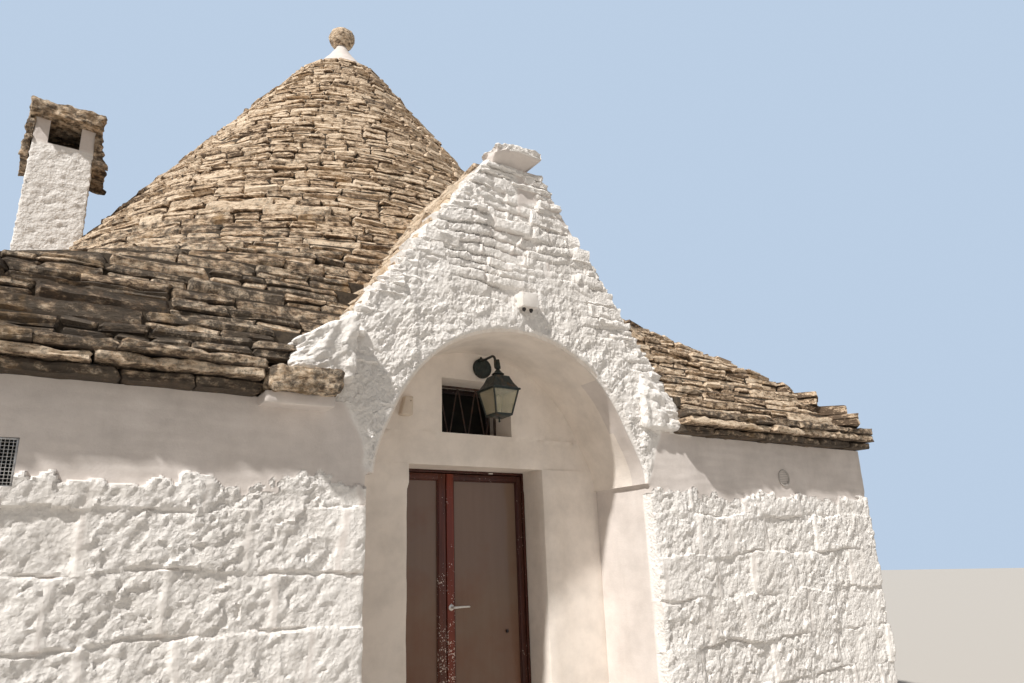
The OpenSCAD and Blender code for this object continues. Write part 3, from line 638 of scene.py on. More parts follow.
def sculpted(name, low, high, spacing, soft, relief, finish, shape=None):
    """A block with rounded edges and a worked surface. shape may lean or taper it."""
    low, high = np.array(low, float), np.array(high, float)
    share, quads = box_lattice(low, high, spacing)
    points = low + (high - low) * share
    centre = np.clip(points, low + soft, high - soft)
    away = points - centre
    away /= np.linalg.norm(away, axis=1)[:, None]
    points = centre + away * soft
    points += away * relief(points)[:, None]
    return make_piece(name, shape(points) if shape else points, quads, (), finish, 45.0)


def lumpy(*layers, inset=0.0):
    """The relief of something worked by hand, from layers of lumps: depth, size and seed of each."""
    return lambda points: sum(depth * grain(points, size, seed) for depth, size, seed in layers) - inset


door_low_x, door_high_x = -0.562, 0.588
door_top = 2.214
wall_reach = jamb_x + 0.03
for side, near, far in (("left", -wall_reach, door_low_x), ("right", door_high_x, wall_reach)):
    beside_door = wall_prism(
        "door_wall_" + side + "_plaster",
        [(near, room_back), (near, porch_back), (far, porch_back), (far, room_back)],
        [jamb] * 3 + [flat_side], steps(0.0, door_top, jamb_step), plaster)
    settle(beside_door, "house", "limewashed_wall", "door_wall_" + side)


def window_wall_mesh():
    heights = np.concatenate([steps(door_top, gable_foot - 0.001, 0.04), steps(gable_foot, ridge_h, 0.04)])
    half = np.where(heights < gable_foot, wall_reach, np.maximum(verge_x(heights) - 0.25, 0.0))
    rows, columns = len(heights), 56
    flat = np.column_stack([(half[:, None] * np.linspace(-1, 1, columns)).ravel(),
                            np.full(rows * columns, porch_back), np.repeat(heights, columns)])
    back = flat.copy()
    soft = 0.010 * (1 - rise(flat[:, 2] - door_top, 0.0, 0.035)) * (
        rise(flat[:, 0], door_low_x - 0.03, door_low_x)
        * (1 - rise(flat[:, 0], door_high_x, door_high_x + 0.03)))
    flat[:, 1] -= plaster_relief(flat, 64) - soft
    back[:, 1] = room_back
    count = len(flat)
    faces = grid_faces(rows, columns)
    rim = np.concatenate([np.arange(columns), np.arange(1, rows) * columns + columns - 1,
                          count - 2 - np.arange(columns - 1), np.arange(rows - 2, 0, -1) * columns])
    after = np.roll(rim, -1)
    sides = np.column_stack([rim + count, after + count, after, rim])
    return np.concatenate([flat, back]), np.concatenate([faces, faces[:, ::-1] + count, sides])


window_low = (-0.303, 2.456)
window_high = (0.313, 2.875)
over_door = make_piece("window_wall_plaster", *window_wall_mesh(), finish=plaster)
cut_out(over_door, (window_low[0], porch_back - 0.2, window_low[1]),
        (window_high[0], room_back + 0.2, window_high[1]))
settle(over_door, "house", "limewashed_wall", "window_wall")

arch_box_low, arch_box_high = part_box("arch_box")
box_plaster = limewash_finish("wiring_box_plaster", (0.74, 0.655, 0.56), (0.66, 0.575, 0.48),
                              (0.50, 0.42, 0.33), 0.4, (0.96, 0.95, 0.94))


def box_shape(points):
    """Narrower at its head, where it was plastered into the curve of the arch."""
    shaped = points.copy()
    share = (points[:, 2] - arch_box_low.z) / (arch_box_high.z - arch_box_low.z)
    shaped[:, 0] += 0.035 * share * (arch_box_high.x - points[:, 0]) / (arch_box_high.x - arch_box_low.x)
    return shaped


wiring_box = sculpted("arch_box_plaster", arch_box_low, arch_box_high + Vector((0, 0.02, 0)), 0.012, 0.012,
                      lumpy((0.003, 0.05, 91)), box_plaster, box_shape)
cut_out(wiring_box, (-0.592, -3.50, 2.648), (-0.582, -3.425, 2.658))
settle(wiring_box, "house", "smooth_plaster", "arch_box")


def dress(finish, *names):
    """Gives solids that keep their own shape the finish of the real thing."""
    for name in names:
        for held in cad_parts[name].material_slots:
            held.material = finish


# Worn limestone slabs with narrow joints of mortar.
paving = Finish("worn_limestone_floor", 0.62)
bricks = paving.node("TexBrick", Vector=paving.place, Scale=1.0, Color1=(0.62, 0.56, 0.47, 1.0),
                     Color2=(0.54, 0.48, 0.40, 1.0), Mortar=(0.30, 0.27, 0.23, 1.0),
                     **{"Mortar Size": 0.006, "Brick Width": 0.60, "Row Height": 0.40})
trodden = paving.ramp(paving.mottle(6.0, 6.0), (0.3, 0.78), (0.7, 1.0))
dress(paving.done(paving.mix(1.0, bricks.outputs["Color"], trodden, "MULTIPLY"), bricks.outputs["Fac"],
                  -0.6, 0.004), "floor", "porch_floor")

# Roof slabs: hand-broken limestone slabs, laid dry in level courses and set back a little each time, so
# that rain runs from one to the next. Each slab has a rough broken face; old ones are dark with lichen.
slab_rng = np.random.RandomState(5)


class StonePile:
    """Collects single stones, each a closed mesh, until they are joined as one piece."""

    # Painted shade at the joints: each slab's tone drops at its foot and head edges and behind them, and
    # rises a little mid-face as a faint painted highlight.
    joint_edge_shade = np.array([0.9, 0.60, 0.0, -0.05, 0.0, 0.50, 0.9])

    def __init__(self):
        self.points, self.quads, self.others, self.tones, self.count = [], [], [], [], 0

    def add(self, grid, tone):
        """A stone from its cross-sections: grid[section, ring point]."""
        sections, ring = grid.shape[:2]
        index = np.arange(sections * ring).reshape(sections, ring) + self.count
        self.quads.append(index.T.ravel()[grid_faces(ring, sections, close_rows=True)])
        self.others += [index[0], index[-1][::-1]]
        self.points.append(grid.reshape(-1, 3))
        tones = np.repeat(np.array([tone], float), sections * ring, axis=0)
        # Painted shade at the edges of the slab, from the pattern above.
        tones[:, 0] -= np.tile(self.joint_edge_shade, sections)
        self.tones.append(tones)
        self.count += sections * ring

    def join(self, name, finish, chip=0.010, limit=None):
        points = np.concatenate(self.points)
        shift = np.column_stack([grain(points * np.array([1, 1, 1.5]), 0.055, 3 + a) for a in range(3)])
        points = points + shift * chip * np.array([1, 1, 0.55])
        if limit:
            points = np.clip(points, *limit)
        piece = make_piece(name, points, np.concatenate(self.quads), self.others, finish, 26.0)
        tone, lichen, wash = np.concatenate(self.tones).T
        return mark(piece, tone=tone, lichen=lichen, wash=wash)


def lay_slab(pile, middle, run, outward, length, thick, out, deep, tone, spacing=0.062):
    """One slab with its face at out beyond its seat. run and outward are unit vectors in plan."""
    sections = max(4, int(round(length / spacing)) + 1)
    at = np.linspace(-0.5, 0.5, sections) * length
    at[1] = at[0] + min(0.018, length * 0.12)
    at[-2] = at[-1] - min(0.018, length * 0.12)
    recede = np.abs(0.004 * slab_rng.normal(size=sections))
    recede[0], recede[-1] = slab_rng.uniform(0.010, 0.032, 2)
    slope = slab_rng.normal() * 0.016
    face = out - recede + slope * at / length
    foot = 0.003 * slab_rng.normal(size=sections) + 0.20 * recede
    head = thick + 0.005 * slab_rng.normal(size=sections) - 0.30 * recede
    edge = slab_rng.uniform(0.003, 0.010, sections)
    tall = head - foot
    bulge = slab_rng.normal(size=(3, sections)) * 0.006 + slab_rng.normal(size=(3, 1)) * 0.005
    ring = np.stack([np.column_stack(np.broadcast_arrays(beyond, level)) for beyond, level in (
        (-deep, foot), (face - edge, foot), (face - 0.25 * edge + bulge[0], foot + 0.22 * tall),
        (face + bulge[1], foot + 0.55 * tall), (face - 0.4 * edge + 0.5 * bulge[2], foot + 0.85 * tall),
        (face - 1.6 * edge, head), (-deep, head))], axis=1)
    skew = np.zeros(sections)
    skew[:2] = slab_rng.normal() * 0.016
    skew[-2:] = slab_rng.normal() * 0.016
    turn = slab_rng.normal() * 0.03
    run = np.array([run[0] * math.cos(turn) - run[1] * math.sin(turn),
                    run[0] * math.sin(turn) + run[1] * math.cos(turn)])
    outward = np.array([run[1], -run[0]]) * (1 if run[1] * outward[0] - run[0] * outward[1] > 0 else -1)
    lean = slab_rng.normal() * 0.008
    nod = slab_rng.normal() * 0.03 - 0.03
    spot = at[:, None] + skew[:, None] * (ring[:, :, 1] / thick - 0.5)
    grid = np.stack([middle[0] + spot * run[0] + ring[:, :, 0] * outward[0],
                     middle[1] + spot * run[1] + ring[:, :, 0] * outward[1],
                     middle[2] + ring[:, :, 1] + lean * at[:, None] / length
                     + nod * np.maximum(ring[:, :, 0], -0.1)], axis=-1)
    pile.add(grid[::-1] if run[0] * outward[1] - run[1] * outward[0] > 0 else grid, tone)


def lay_split(pile, middle, run, outward, length, height, out, deep, tone, split, spacing=0.062):
    """A course's height in one slab, or often in two or more thin ones whose ends don't meet."""
    if slab_rng.uniform() > split:
        lay_slab(pile, middle, run, outward, length, height * slab_rng.uniform(0.82, 0.97),
                 out + slab_rng.uniform(-0.010, 0.014), deep, tone(), spacing)
        return
    cut = slab_rng.uniform(0.38, 0.60) * height
    for foot, thick, back in ((0.0, cut - 0.003, 0.0), (cut, height * 0.97 - cut, -0.007)):
        parts = [0.0, 1.0]
        if length > 0.30 and slab_rng.uniform() < 0.75:
            parts = [0.0, slab_rng.uniform(0.32, 0.68), 1.0]
        for start, end in zip(parts[:-1], parts[1:]):
            spot = ((start + end) / 2 - 0.5) * length
            place = (middle[0] + spot * run[0], middle[1] + spot * run[1], middle[2] + foot)
            lay_slab(pile, place, run, outward, (end - start) * length - 0.004, thick,
                     out + back + slab_rng.uniform(-0.009, 0.014), deep, tone(), spacing)


def lay_row(pile, start, end, outward, level, height, lengths, out, deep, tone, split):
    """Slabs side by side on a straight line from start to end."""
    start, end = np.array(start, float), np.array(end, float)
    whole = np.linalg.norm(end - start)
    run = (end - start) / whole
    spot = 0.0
    while spot < whole - 0.03:
        length = min(slab_rng.uniform(*lengths), whole - spot)
        if whole - spot - length < 0.6 * lengths[0]:
            length = whole - spot
        lay_split(pile, (*(start + run * (spot + length / 2)), level), run, outward,
                  length - slab_rng.uniform(0.003, 0.012), height, out, deep, tone, split)
        spot += length


apex_h = 8.44
eaves_top_h = 2.64
course_h = 0.11
haunch_courses = 14
all_courses = 46
eaves_corner_r = 0.30
cone_run = 4.1 / (apex_h - eaves_top_h)


def course_shape(i):
    """Half the width of course i and the radius of its corners, which turns the square into a circle."""
    half = (apex_h - (eaves_top_h + (i + 0.5) * course_h)) * cone_run
    if i >= haunch_courses:
        return half, half
    share = i / (haunch_courses - 1)
    share = share * share * (3 - 2 * share)
    return half, min(half, eaves_corner_r + (half - eaves_corner_r) * share)


def course_place(half, corner, along):
    """Place and outward direction on a course, a given length round it from the middle of the +X side."""
    straight = half - corner
    bend = corner * math.pi / 2
    side, rest = divmod(along, 2 * straight + bend)
    if rest < straight:
        spot, out = (half, rest), (1.0, 0.0)
    elif rest < straight + bend:
        angle = (rest - straight) / corner
        out = (math.cos(angle), math.sin(angle))
        spot = (straight + corner * out[0], straight + corner * out[1])
    else:
        spot, out = (straight - (rest - straight - bend), half), (0.0, 1.0)
    turn = side * math.pi / 2
    c, s = round(math.cos(turn)), round(math.sin(turn))
    return [np.array([c * x - s * y, s * x + c * y]) for x, y in (spot, out)]


def in_roof(x, y, z, deep):
    """Whether a place lies deeper than the given depth inside the haunch or cone."""
    if z < eaves_top_h:
        return abs(y) < 3.70 - deep
    half, corner = course_shape(int((z - eaves_top_h) / course_h))
    x, y, straight = abs(x), abs(y), half - corner
    if x < straight or y < straight:
        return max(x, y) < half - deep
    return math.hypot(x - straight, y - straight) < corner - deep


def in_porch(x, y, z):
    """Inside the porch roof, its ridge or the space under them."""
    return y < room_back + 0.10 and abs(x) < max(verge_x(z) - 0.06, 0.16) and z < ridge_h + 0.16


chimney_low, chimney_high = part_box("chimney_shaft")


def in_chimney(x, y):
    return (chimney_low.x + 0.05 < x < chimney_high.x - 0.05
            and chimney_low.y + 0.05 < y < chimney_high.y - 0.05)


def drawn(middle, spread):
    """A random share from 0 to 1."""
    return float(np.clip(slab_rng.normal(middle, spread), 0, 1))


def slab_tone(x, z):
    """Tone of a slab, its lichen and its limewash. The low left is oldest and darkest."""
    old = np.clip(1.0 - (z - 2.6) / 2.6, 0, 1) * np.clip(0.72 - 0.16 * (x + 1.0), 0.20, 1)
    return drawn(0.55, 0.17), float(np.clip(old + slab_rng.normal(0, 0.16), 0, 1)), 0.0


party_line = 3.985
plot = ((-3.992, -4.26, 0), (3.992, 4.2, 9))
roof_piles = {}
for i in range(all_courses):
    half, corner = course_shape(i)
    around = 4 * (2 * (half - corner) + corner * math.pi / 2)
    level = eaves_top_h + i * course_h
    first_spot = spot = slab_rng.uniform(0, 0.4)
    while spot < first_spot + around - 0.05:
        length = slab_rng.uniform(0.24, 0.62) * (1.10 - 0.40 * i / all_courses) * (1.3 if i < 4 else 1.0)
        if first_spot + around - spot - length < 0.14:
            length = first_spot + around - spot
        (x, y), outward = course_place(half, corner, (spot + length / 2) % around)
        spot += length
        if in_porch(x, y, level + 0.05) or in_chimney(x, y):
            continue
        reach = 0.038
        if abs(outward[0]) < 0.5 and abs(x) + length / 2 > party_line:
            overlong = abs(x) + length / 2 - party_line
            length -= overlong
            x -= math.copysign(overlong / 2, x)
        if abs(outward[0]) > 0.9 and half > half_house - 0.06:
            reach = half_house - 0.035 - half
        beyond_verge = verge_x(level + course_h / 2) - 0.05 - (abs(x) - length / 2)
        if outward[1] < -0.5 and y < -3.70 and beyond_verge > 0:
            length -= beyond_verge
            x += math.copysign(beyond_verge / 2, x)
        if length < 0.08 or abs(x) > half_house + 0.04:
            continue
        wander = 0.010 * math.sin(2.1 * x + 1.7 * y + 0.6 * i)
        part = "haunch" if i < haunch_courses else "cone" if i < 33 else "cone_crown"
        if part != "cone_crown":
            part += ("_front" if y < 0 else "_rear") + ("_left" if x < 0 else "_right")
        lay_split(roof_piles.setdefault(part, StonePile()), (x, y, level + wander),
                  np.array([-outward[1], outward[0]]), outward, length - slab_rng.uniform(0.003, 0.012),
                  course_h, reach, 0.12 + 0.50 * abs(outward[0] * outward[1]), lambda: slab_tone(x, level),
                  0.60 if i < 8 and x < 0 else 0.90, 0.075 if y < 0.6 else 0.15)

# Weathered limestone: its own tone for each slab, rough broken faces with painted shade in their hollows
# and painted highlight on their crests, patches of dark lichen, some ochre lichen and, at the verge,
# splashes of limewash.
stone = Finish("weathered_roof_slabs", 0.93)
relief = stone.sum(stone.mottle(60.0, 6.0, 0.75), 0.35,
                   stone.mottle(17.0, 10.0, 0.72, stone.stretched(1.0, 1.0, 2.6)))
# The colour follows the height of the bump: painted shade in the hollows and painted highlight on the crests.
body = stone.ramp(stone.maths("ADD", stone.sum(relief, 4.4, -2.93), stone.share_of("tone")),
                  (0.06, (0.150, 0.102, 0.066)), (0.46, (0.66, 0.485, 0.325)), (0.86, (0.95, 0.78, 0.59)))
spots = stone.sum(stone.share_of("lichen"), 0.23, stone.mottle(15.0, 10.0, 0.80))
body = stone.mix(stone.ramp(spots, (0.58, 0.0), (0.72, 0.93)), body, (0.075, 0.058, 0.042))
body = stone.mix(stone.ramp(stone.mottle(2.3, 7.0, 0.7), (0.56, 0.0), (0.72, 0.55)), body, (0.50, 0.30, 0.12))
body = stone.mix(stone.share_of("wash"), body, (0.84, 0.81, 0.75))
roof_slab_finish = stone.done(body, relief, 1.0, 0.032)
for part, pile in sorted(roof_piles.items()):
    settle(pile.join(part + "_slabs", roof_slab_finish, limit=plot), "house", "roof_limestone")

# The bedding of earth and small stones that shows dark between the slabs, where its darkness is partly
# painted shade of the gaps, under the flat backs of the slabs on the steps, and as plain rubble fill at the
# party lines; the vault inside is plastered.
vault_radius, vault_foot, vault_apex = 2.8, 2.95, 7.0
bed = Finish("bedding_and_vault_plaster", 0.95)
# Partly painted shade: the earth between the slabs is kept very dark to stand for the shade in the gaps.
earth_and_gap_shade = bed.ramp(bed.mottle(30.0, 6.0, 0.7), (0.35, (0.036, 0.027, 0.019)), (0.75, (0.110, 0.082, 0.054)))
parts = bed.node("SeparateXYZ", bed.place)
level = bed.node("CombineXYZ", parts.outputs["X"], parts.outputs["Y"])
radius = bed.node("VectorMath", level.outputs[0], operation="LENGTH").outputs["Value"]
slope = vault_radius / (vault_apex - vault_foot)
vault_r = bed.maths("MINIMUM", bed.sum(parts.outputs["Z"], -slope, vault_apex * slope + 0.04),
                    vault_radius + 0.02)
at_party = bed.maths("GREATER_THAN", bed.maths("ABSOLUTE", parts.outputs["X"]), party_line + 0.008)
on_step = bed.maths("GREATER_THAN", bed.height(bed.node("NewGeometry").outputs["Normal"]), 0.5)
each = bed.node("TexVoronoi", Vector=bed.place, Scale=3.4).outputs["Color"]
backs = bed.ramp(bed.sum(bed.mottle(17.0, 10.0, 0.72), 5.6, bed.sum(each, 0.6, -2.62)),
                 (0.06, (0.150, 0.102, 0.066)), (0.46, (0.40, 0.295, 0.20)), (0.86, (0.56, 0.44, 0.32)))
fill = bed.ramp(bed.mottle(8.0, 6.0, 0.65), (0.38, (0.30, 0.245, 0.18)), (0.62, (0.60, 0.54, 0.45)))
body = bed.mix(at_party, bed.mix(on_step, earth_and_gap_shade, backs), fill)
body = bed.mix(bed.maths("LESS_THAN", radius, vault_r), body, (0.80, 0.785, 0.75))
bedding = bed.done(body, bed.mottle(24.0, 6.0, 0.7), 0.5, 0.01)
dress(bedding, "cone_crown", *[part + end + side for part in ("haunch", "cone") for end in ("_front", "_rear")
                               for side in ("_left", "_right")])

# Porch roof: thinner slabs laid along both slopes up to the ridge, whose ends stand out at the gable and are
# limewashed with it. A lumpy band of mortar closes the ridge.
porch_courses = 18
both_sides = (("left", -1), ("right", 1))
porch_piles = {"left": StonePile(), "right": StonePile()}
verge_pile = StonePile()
for i in range(porch_courses):
    level = gable_foot + i * course_h
    for side, sign in both_sides:
        face_x = verge_x(level + course_h / 2)
        back_y = -3.98
        while back_y < room_back + 0.6 and not in_roof(face_x, back_y, level + 0.05, 0.10):
            back_y += 0.04

        def washed_tone():
            tone, lichen, wash = slab_tone(sign * face_x, level)
            return min(1.0, tone + 0.22), lichen * 0.25, slab_rng.uniform(0, 0.15)

        lay_row(porch_piles[side], (sign * face_x, -3.96), (sign * face_x, back_y), (sign, 0), level,
                course_h, (0.18, 0.50), 0.030, 0.16, washed_tone, 0.85)
        layers = (0.0, 0.5) if slab_rng.uniform() < (0.75 if sign < 0 else 0.35) else (0.0,)
        for layer in layers:
            layer_x = verge_x(level + course_h * (layer + 0.5 / len(layers)))
            wide = min(slab_rng.uniform(0.14, 0.40), layer_x * 1.6)
            place = (sign * (layer_x - wide / 2 + slab_rng.uniform(0.0, 0.028)), -half_house + 0.02,
                     level + layer * course_h)
            lay_slab(verge_pile, place, (1.0, 0.0), (0.0, -1.0), wide,
                     course_h / len(layers) * slab_rng.uniform(0.86, 1.0),
                     slab_rng.uniform(0.026, 0.052), 0.16, (0.5, 0.0, 1.0), spacing=0.03)
for side, pile in porch_piles.items():
    settle(pile.join("porch_roof_" + side + "_slabs", roof_slab_finish), "house", "roof_limestone")
settle(mark(verge_pile.join("gable_verge_stones", limewash), rough=0.8), "house", "limewashed_wall")
bed_front = -3.93
for side, sign in both_sides:
    rim = [(sign * (verge_x(z) - inset), z)
           for z, inset in ((gable_foot, 0.06), (ridge_h, 0.06), (ridge_h, 0.25), (gable_foot, 0.25))]
    slope_bed = plain_mesh("porch_roof_" + side + "_bedding",
                           [(x, y, z) for y in (bed_front, room_back) for x, z in rim],
                     [(0, 1, 2, 3)[::sign], (7, 6, 5, 4)[::sign]]
                     + [(i, i + 4, (i + 1) % 4 + 4, (i + 1) % 4)[::sign] for i in range(4)], bedding)
    settle(slope_bed, "house", "roof_limestone", "porch_roof_" + side)

ridge_low, ridge_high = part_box("porch_ridge")
ridge_band = sculpted("porch_ridge_mortar", (ridge_low.x, -3.92, ridge_low.z), ridge_high, 0.02, 0.045,
                      lumpy((0.012, 0.13, 95), (0.007, 0.05, 96), inset=0.004), limewash)
settle(ridge_band, "house", "limewashed_wall", "porch_ridge")

cap_low, cap_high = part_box("gable_cap_stone")


def cap_stone_shape(points):
    """Thin and rough at its upper edge, with a smooth underside that slopes back to the wall."""
    share = rise(points[:, 2], cap_low.z, cap_high.z - 0.05)
    shaped = points.copy()
    shaped[:, 0] -= np.where(points[:, 0] > 0, 0.11, -0.02) * (1 - share)
    shaped[:, 1] += 0.11 * (1 - share) * (1 - rise(points[:, 1], cap_low.y, cap_high.y))
    shaped[:, 2] -= 0.05 * rise(-points[:, 0], 0.02, 0.24)
    return shaped


def cap_stone_relief(points):
    rough = rise(points[:, 2], cap_high.z - 0.075, cap_high.z - 0.05)
    return 0.004 * grain(points, 0.2, 97) + rough * (0.020 * grain(points, 0.07, 98) - 0.012
                                                      + 0.010 * grain(points, 0.03, 99))


cap_stone = sculpted("gable_cap_stone_limewashed", cap_low, (cap_high.x, -3.86, cap_high.z), 0.0125, 0.016,
                     cap_stone_relief, limewash, cap_stone_shape)
mark(cap_stone, rough=0.8 * (corners_of(cap_stone)[:, 2] > cap_high.z - 0.07))
settle(cap_stone, "house", "limewashed_wall", "gable_cap_stone")

# Eaves: rows of longer slabs that stand out over the wall and throw the rain clear. At the
# left foot of the gable one long stone stands out further, on a plastered corbel, with mortar over it.
eaves_rows = 3
eaves_row_h = 0.19 / eaves_rows
foot_x = verge_x(gable_foot + course_h / 2)
end_stone_low, end_stone_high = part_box("eaves_end_stone")


def eaves_tone():
    """The row in the middle is fresher than the others, and the right side a little cleaner."""
    return (drawn((0.34, 0.72, 0.52)[row], 0.10),
            drawn((0.95, 0.35, 0.75)[row] - 0.10 * (start_x > 0), 0.15), 0.0)


for name, start_x, end_x, facing in (("eaves_front_left", -party_line, end_stone_low.x, -1),
                                     ("eaves_front_right", 1.45, party_line, -1),
                                     ("eaves_rear", party_line, -party_line, 1)):
    pile = StonePile()
    for row in range(eaves_rows):
        face_y = facing * (half_house + (0.13, 0.185, 0.195)[row] - (0.015 if facing > 0 else 0.0))
        lay_row(pile, (start_x, face_y), (end_x, face_y), (0, facing), gable_foot + row * eaves_row_h,
                eaves_row_h, (0.40, 1.10) if row == 1 else (0.28, 0.70), 0.0, 0.50, eaves_tone, 0.0)
    stones = pile.join(name + "_slabs", roof_slab_finish, chip=0.014, limit=plot)
    settle(stones, "house", "lichened_stone", name)


def set_stone(piece, tone, lichen, *nodes):
    """Gives a single stone its tone and its share of lichen, and fixes it to the house."""
    settle(mark(piece, tone=tone, lichen=lichen, wash=0.0), "house", "lichened_stone", *nodes)


def stone_relief(points, rough=0.016, seed=101):
    return (rough * grain(points, 0.11, seed) + 0.6 * rough * grain(points, 0.045, seed + 1)
            + 0.3 * rough * grain(points, 0.020, seed + 2) - 0.4 * rough)


end_stone = sculpted("eaves_end_stone_lichened", (end_stone_low.x, end_stone_low.y + 0.010, end_stone_low.z),
                     (end_stone_high.x, -3.90, end_stone_low.z + 0.15), 0.013, 0.045, stone_relief,
                     roof_slab_finish)
set_stone(end_stone, 0.62, 0.70, "eaves_end_stone")
root_stone = sculpted("eaves_end_stone_root", (end_stone_low.x, -4.12, end_stone_low.z + 0.02),
                      (-foot_x + 0.06, -3.72, eaves_top_h - 0.03), 0.02, 0.02, stone_relief, roof_slab_finish)
set_stone(root_stone, 0.55, 0.5)
for name, low, high, slope in (("end_stone_mortar", (-1.66, -4.15, 2.57), (-1.26, -3.90, 3.02), 0.60),
                               ("right_foot_mortar", (1.10, -4.075, 2.47), (1.50, -3.90, 2.93), -0.72)):
    def foot_shape(points):
        """The lump follows the slope of the gable."""
        crest = high[2] - np.abs(slope) * (points[:, 0] - low[0] if slope < 0 else high[0] - points[:, 0])
        shaped = points.copy()
        shaped[:, 2] = low[2] + (points[:, 2] - low[2]) * (crest - low[2]) / (high[2] - low[2])
        return shaped

    lump = sculpted(name, low, high, 0.013, 0.035,
                    lambda p: 0.024 * grain(p, 0.10, 111) + 1.3 * pecked(p, 112, 0.8) - 0.006, limewash,
                    foot_shape)
    settle(mark(lump, rough=0.6), "house", "limewashed_wall")

corbel_low, corbel_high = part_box("eaves_corbel")
corbel = sculpted("eaves_corbel_plaster", corbel_low, corbel_high + Vector((0, 0.03, 0.012)), 0.013, 0.012,
                  lumpy((0.004, 0.12, 115), (0.002, 0.04, 116)), limewash)
settle(corbel, "house", "limewashed_wall", "eaves_corbel")

# Chimney: a tapered shaft of rubble under rough limewash. A thick lichened slab covers the flue, whose mouth
# is open to the front, and a thinner slab leans on each side against the wind.
chimney_x = -2.945
chimney_foot_w, chimney_top_w = 0.56, 0.50


def shaft_shape(points):
    share = (points[:, 2] - chimney_low.z) / (chimney_high.z - chimney_low.z)
    width = chimney_foot_w + (chimney_top_w - chimney_foot_w) * share
    shaped = points.copy()
    shaped[:, 0] = chimney_x + (points[:, 0] - chimney_x) * width / chimney_foot_w
    return shaped


def near_head(points):
    return rise(points[:, 2], chimney_high.z - 0.28, chimney_high.z - 0.20)


def shaft_relief(points):
    level = points * np.array([1.0, 1.0, 2.0])
    rough = 0.007 * grain(level, 0.09, 121) + pecked(level, 123, 0.75)
    return rough * (1 - 0.7 * near_head(points)) - 0.010


soot = Finish("sooty_rubble", 0.95)
layers = soot.mottle(11.0, 7.0, 0.7, soot.stretched(1.0, 1.0, 3.5))
soot_lining = soot.done(soot.ramp(layers, (0.35, (0.035, 0.026, 0.018)), (0.7, (0.24, 0.18, 0.12))), layers,
                        0.9, 0.03)
shaft = sculpted("chimney_shaft_limewashed", (chimney_x - chimney_foot_w / 2, chimney_low.y, chimney_low.z),
                 (chimney_x + chimney_foot_w / 2, chimney_high.y, chimney_high.z + 0.03), 0.021, 0.02,
                 shaft_relief, limewash, shaft_shape)
flue_half, flue_front, flue_back = 0.125, -0.86, -0.61
mouth_h = 0.222
for front, back, low in ((flue_front, flue_back, chimney_high.z - 1.345),
                         (chimney_low.y - 0.1, flue_front + 0.02, chimney_high.z - mouth_h)):
    cut_out(shaft, (chimney_x - flue_half, front, low), (chimney_x + flue_half, back, chimney_high.z + 0.2),
            soot_lining)
mark(shaft, rough=0.7 * (1 - near_head(corners_of(shaft))))
settle(shaft, "house", "limewashed_wall", "chimney_shaft")

cover = sculpted("chimney_cap_slab_lichened", *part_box("chimney_cap_slab"), 0.019, 0.022,
                 lambda p: stone_relief(p, 0.022, 131), roof_slab_finish)
set_stone(cover, 0.55, 0.62, "chimney_cap_slab")
slab_t = 0.06
for side, sign, flare, seed in (("left", -1, 0.020, 141), ("right", 1, 0.075, 151)):
    node = "chimney_side_slab_" + side
    slab_low, slab_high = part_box(node)

    def side_slab_shape(points):
        down = (slab_high.z - points[:, 2]) / (slab_high.z - slab_low.z)
        shaft_half = chimney_top_w / 2 + 0.0095 * down
        outer = 0.04 + flare * (0.25 * np.minimum(down, 0.5) * 2 + 0.75 * np.maximum(down - 0.5, 0) * 2)
        shaped = points.copy()
        shaped[:, 0] = chimney_x + sign * (shaft_half - 0.008 + (outer + 0.008) * points[:, 0] / slab_t)
        shaped[:, 1] += 0.02 * np.sin(9 * points[:, 2])
        return shaped

    def side_slab_relief(points):
        edge = rise(np.abs(points[:, 1] - (slab_low.y + slab_high.y) / 2), 0.12, 0.2)
        return 0.025 * (0.5 + edge) * grain(points, 0.06, seed)

    leaning = sculpted(node + "_lichened", (0.0, slab_low.y, slab_low.z),
                       (slab_t, slab_high.y, slab_high.z + 0.01), 0.02, 0.006, side_slab_relief,
                       roof_slab_finish, side_slab_shape)
    set_stone(leaning, 0.50, 0.70, node)


# Pinnacle: the last courses end under a cap of white lime plaster, and a round weathered stone with a hollow
# foot stands on it.
def turned(name, profile, sections, relief, finish):
    """A closed turned form from radii and heights, worked by hand into a slightly uneven one."""
    profile = np.array(profile, float)
    turn = np.linspace(0, 2 * math.pi, sections, endpoint=False)
    flat = np.column_stack([(profile[:, :1] * np.cos(turn)).ravel(), (profile[:, :1] * np.sin(turn)).ravel(),
                            np.repeat(profile[:, 1], sections)])
    push = relief(flat)
    flat[:, 0] += push * np.tile(np.cos(turn), len(profile))
    flat[:, 1] += push * np.tile(np.sin(turn), len(profile))
    index = np.arange(len(profile) * sections).reshape(len(profile), sections)
    after = np.roll(index, -1, axis=1)
    quads = np.stack([index[:-1], after[:-1], after[1:], index[1:]], axis=-1).reshape(-1, 4)
    return make_piece(name, flat, quads, [index[0][::-1], index[-1]], finish)


plaster_low, plaster_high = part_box("plaster_cap")
plaster_r = plaster_high.x
neck_r = 0.065
cap_profile = [(plaster_r - 0.05, plaster_low.z - 0.06), (plaster_r + 0.012, plaster_low.z - 0.05)]
cap_profile += [(neck_r + (plaster_r - neck_r) * (1 - t) ** 1.2,
                 plaster_low.z + (plaster_high.z - plaster_low.z) * t)
                for t in np.linspace(0, 1, 40)]
plaster_cap = turned("plaster_cap_limewashed", cap_profile, 64, lumpy((0.008, 0.16, 161), (0.004, 0.06, 162)),
                     limewash)
settle(plaster_cap, "house", "limewashed_wall", "plaster_cap")

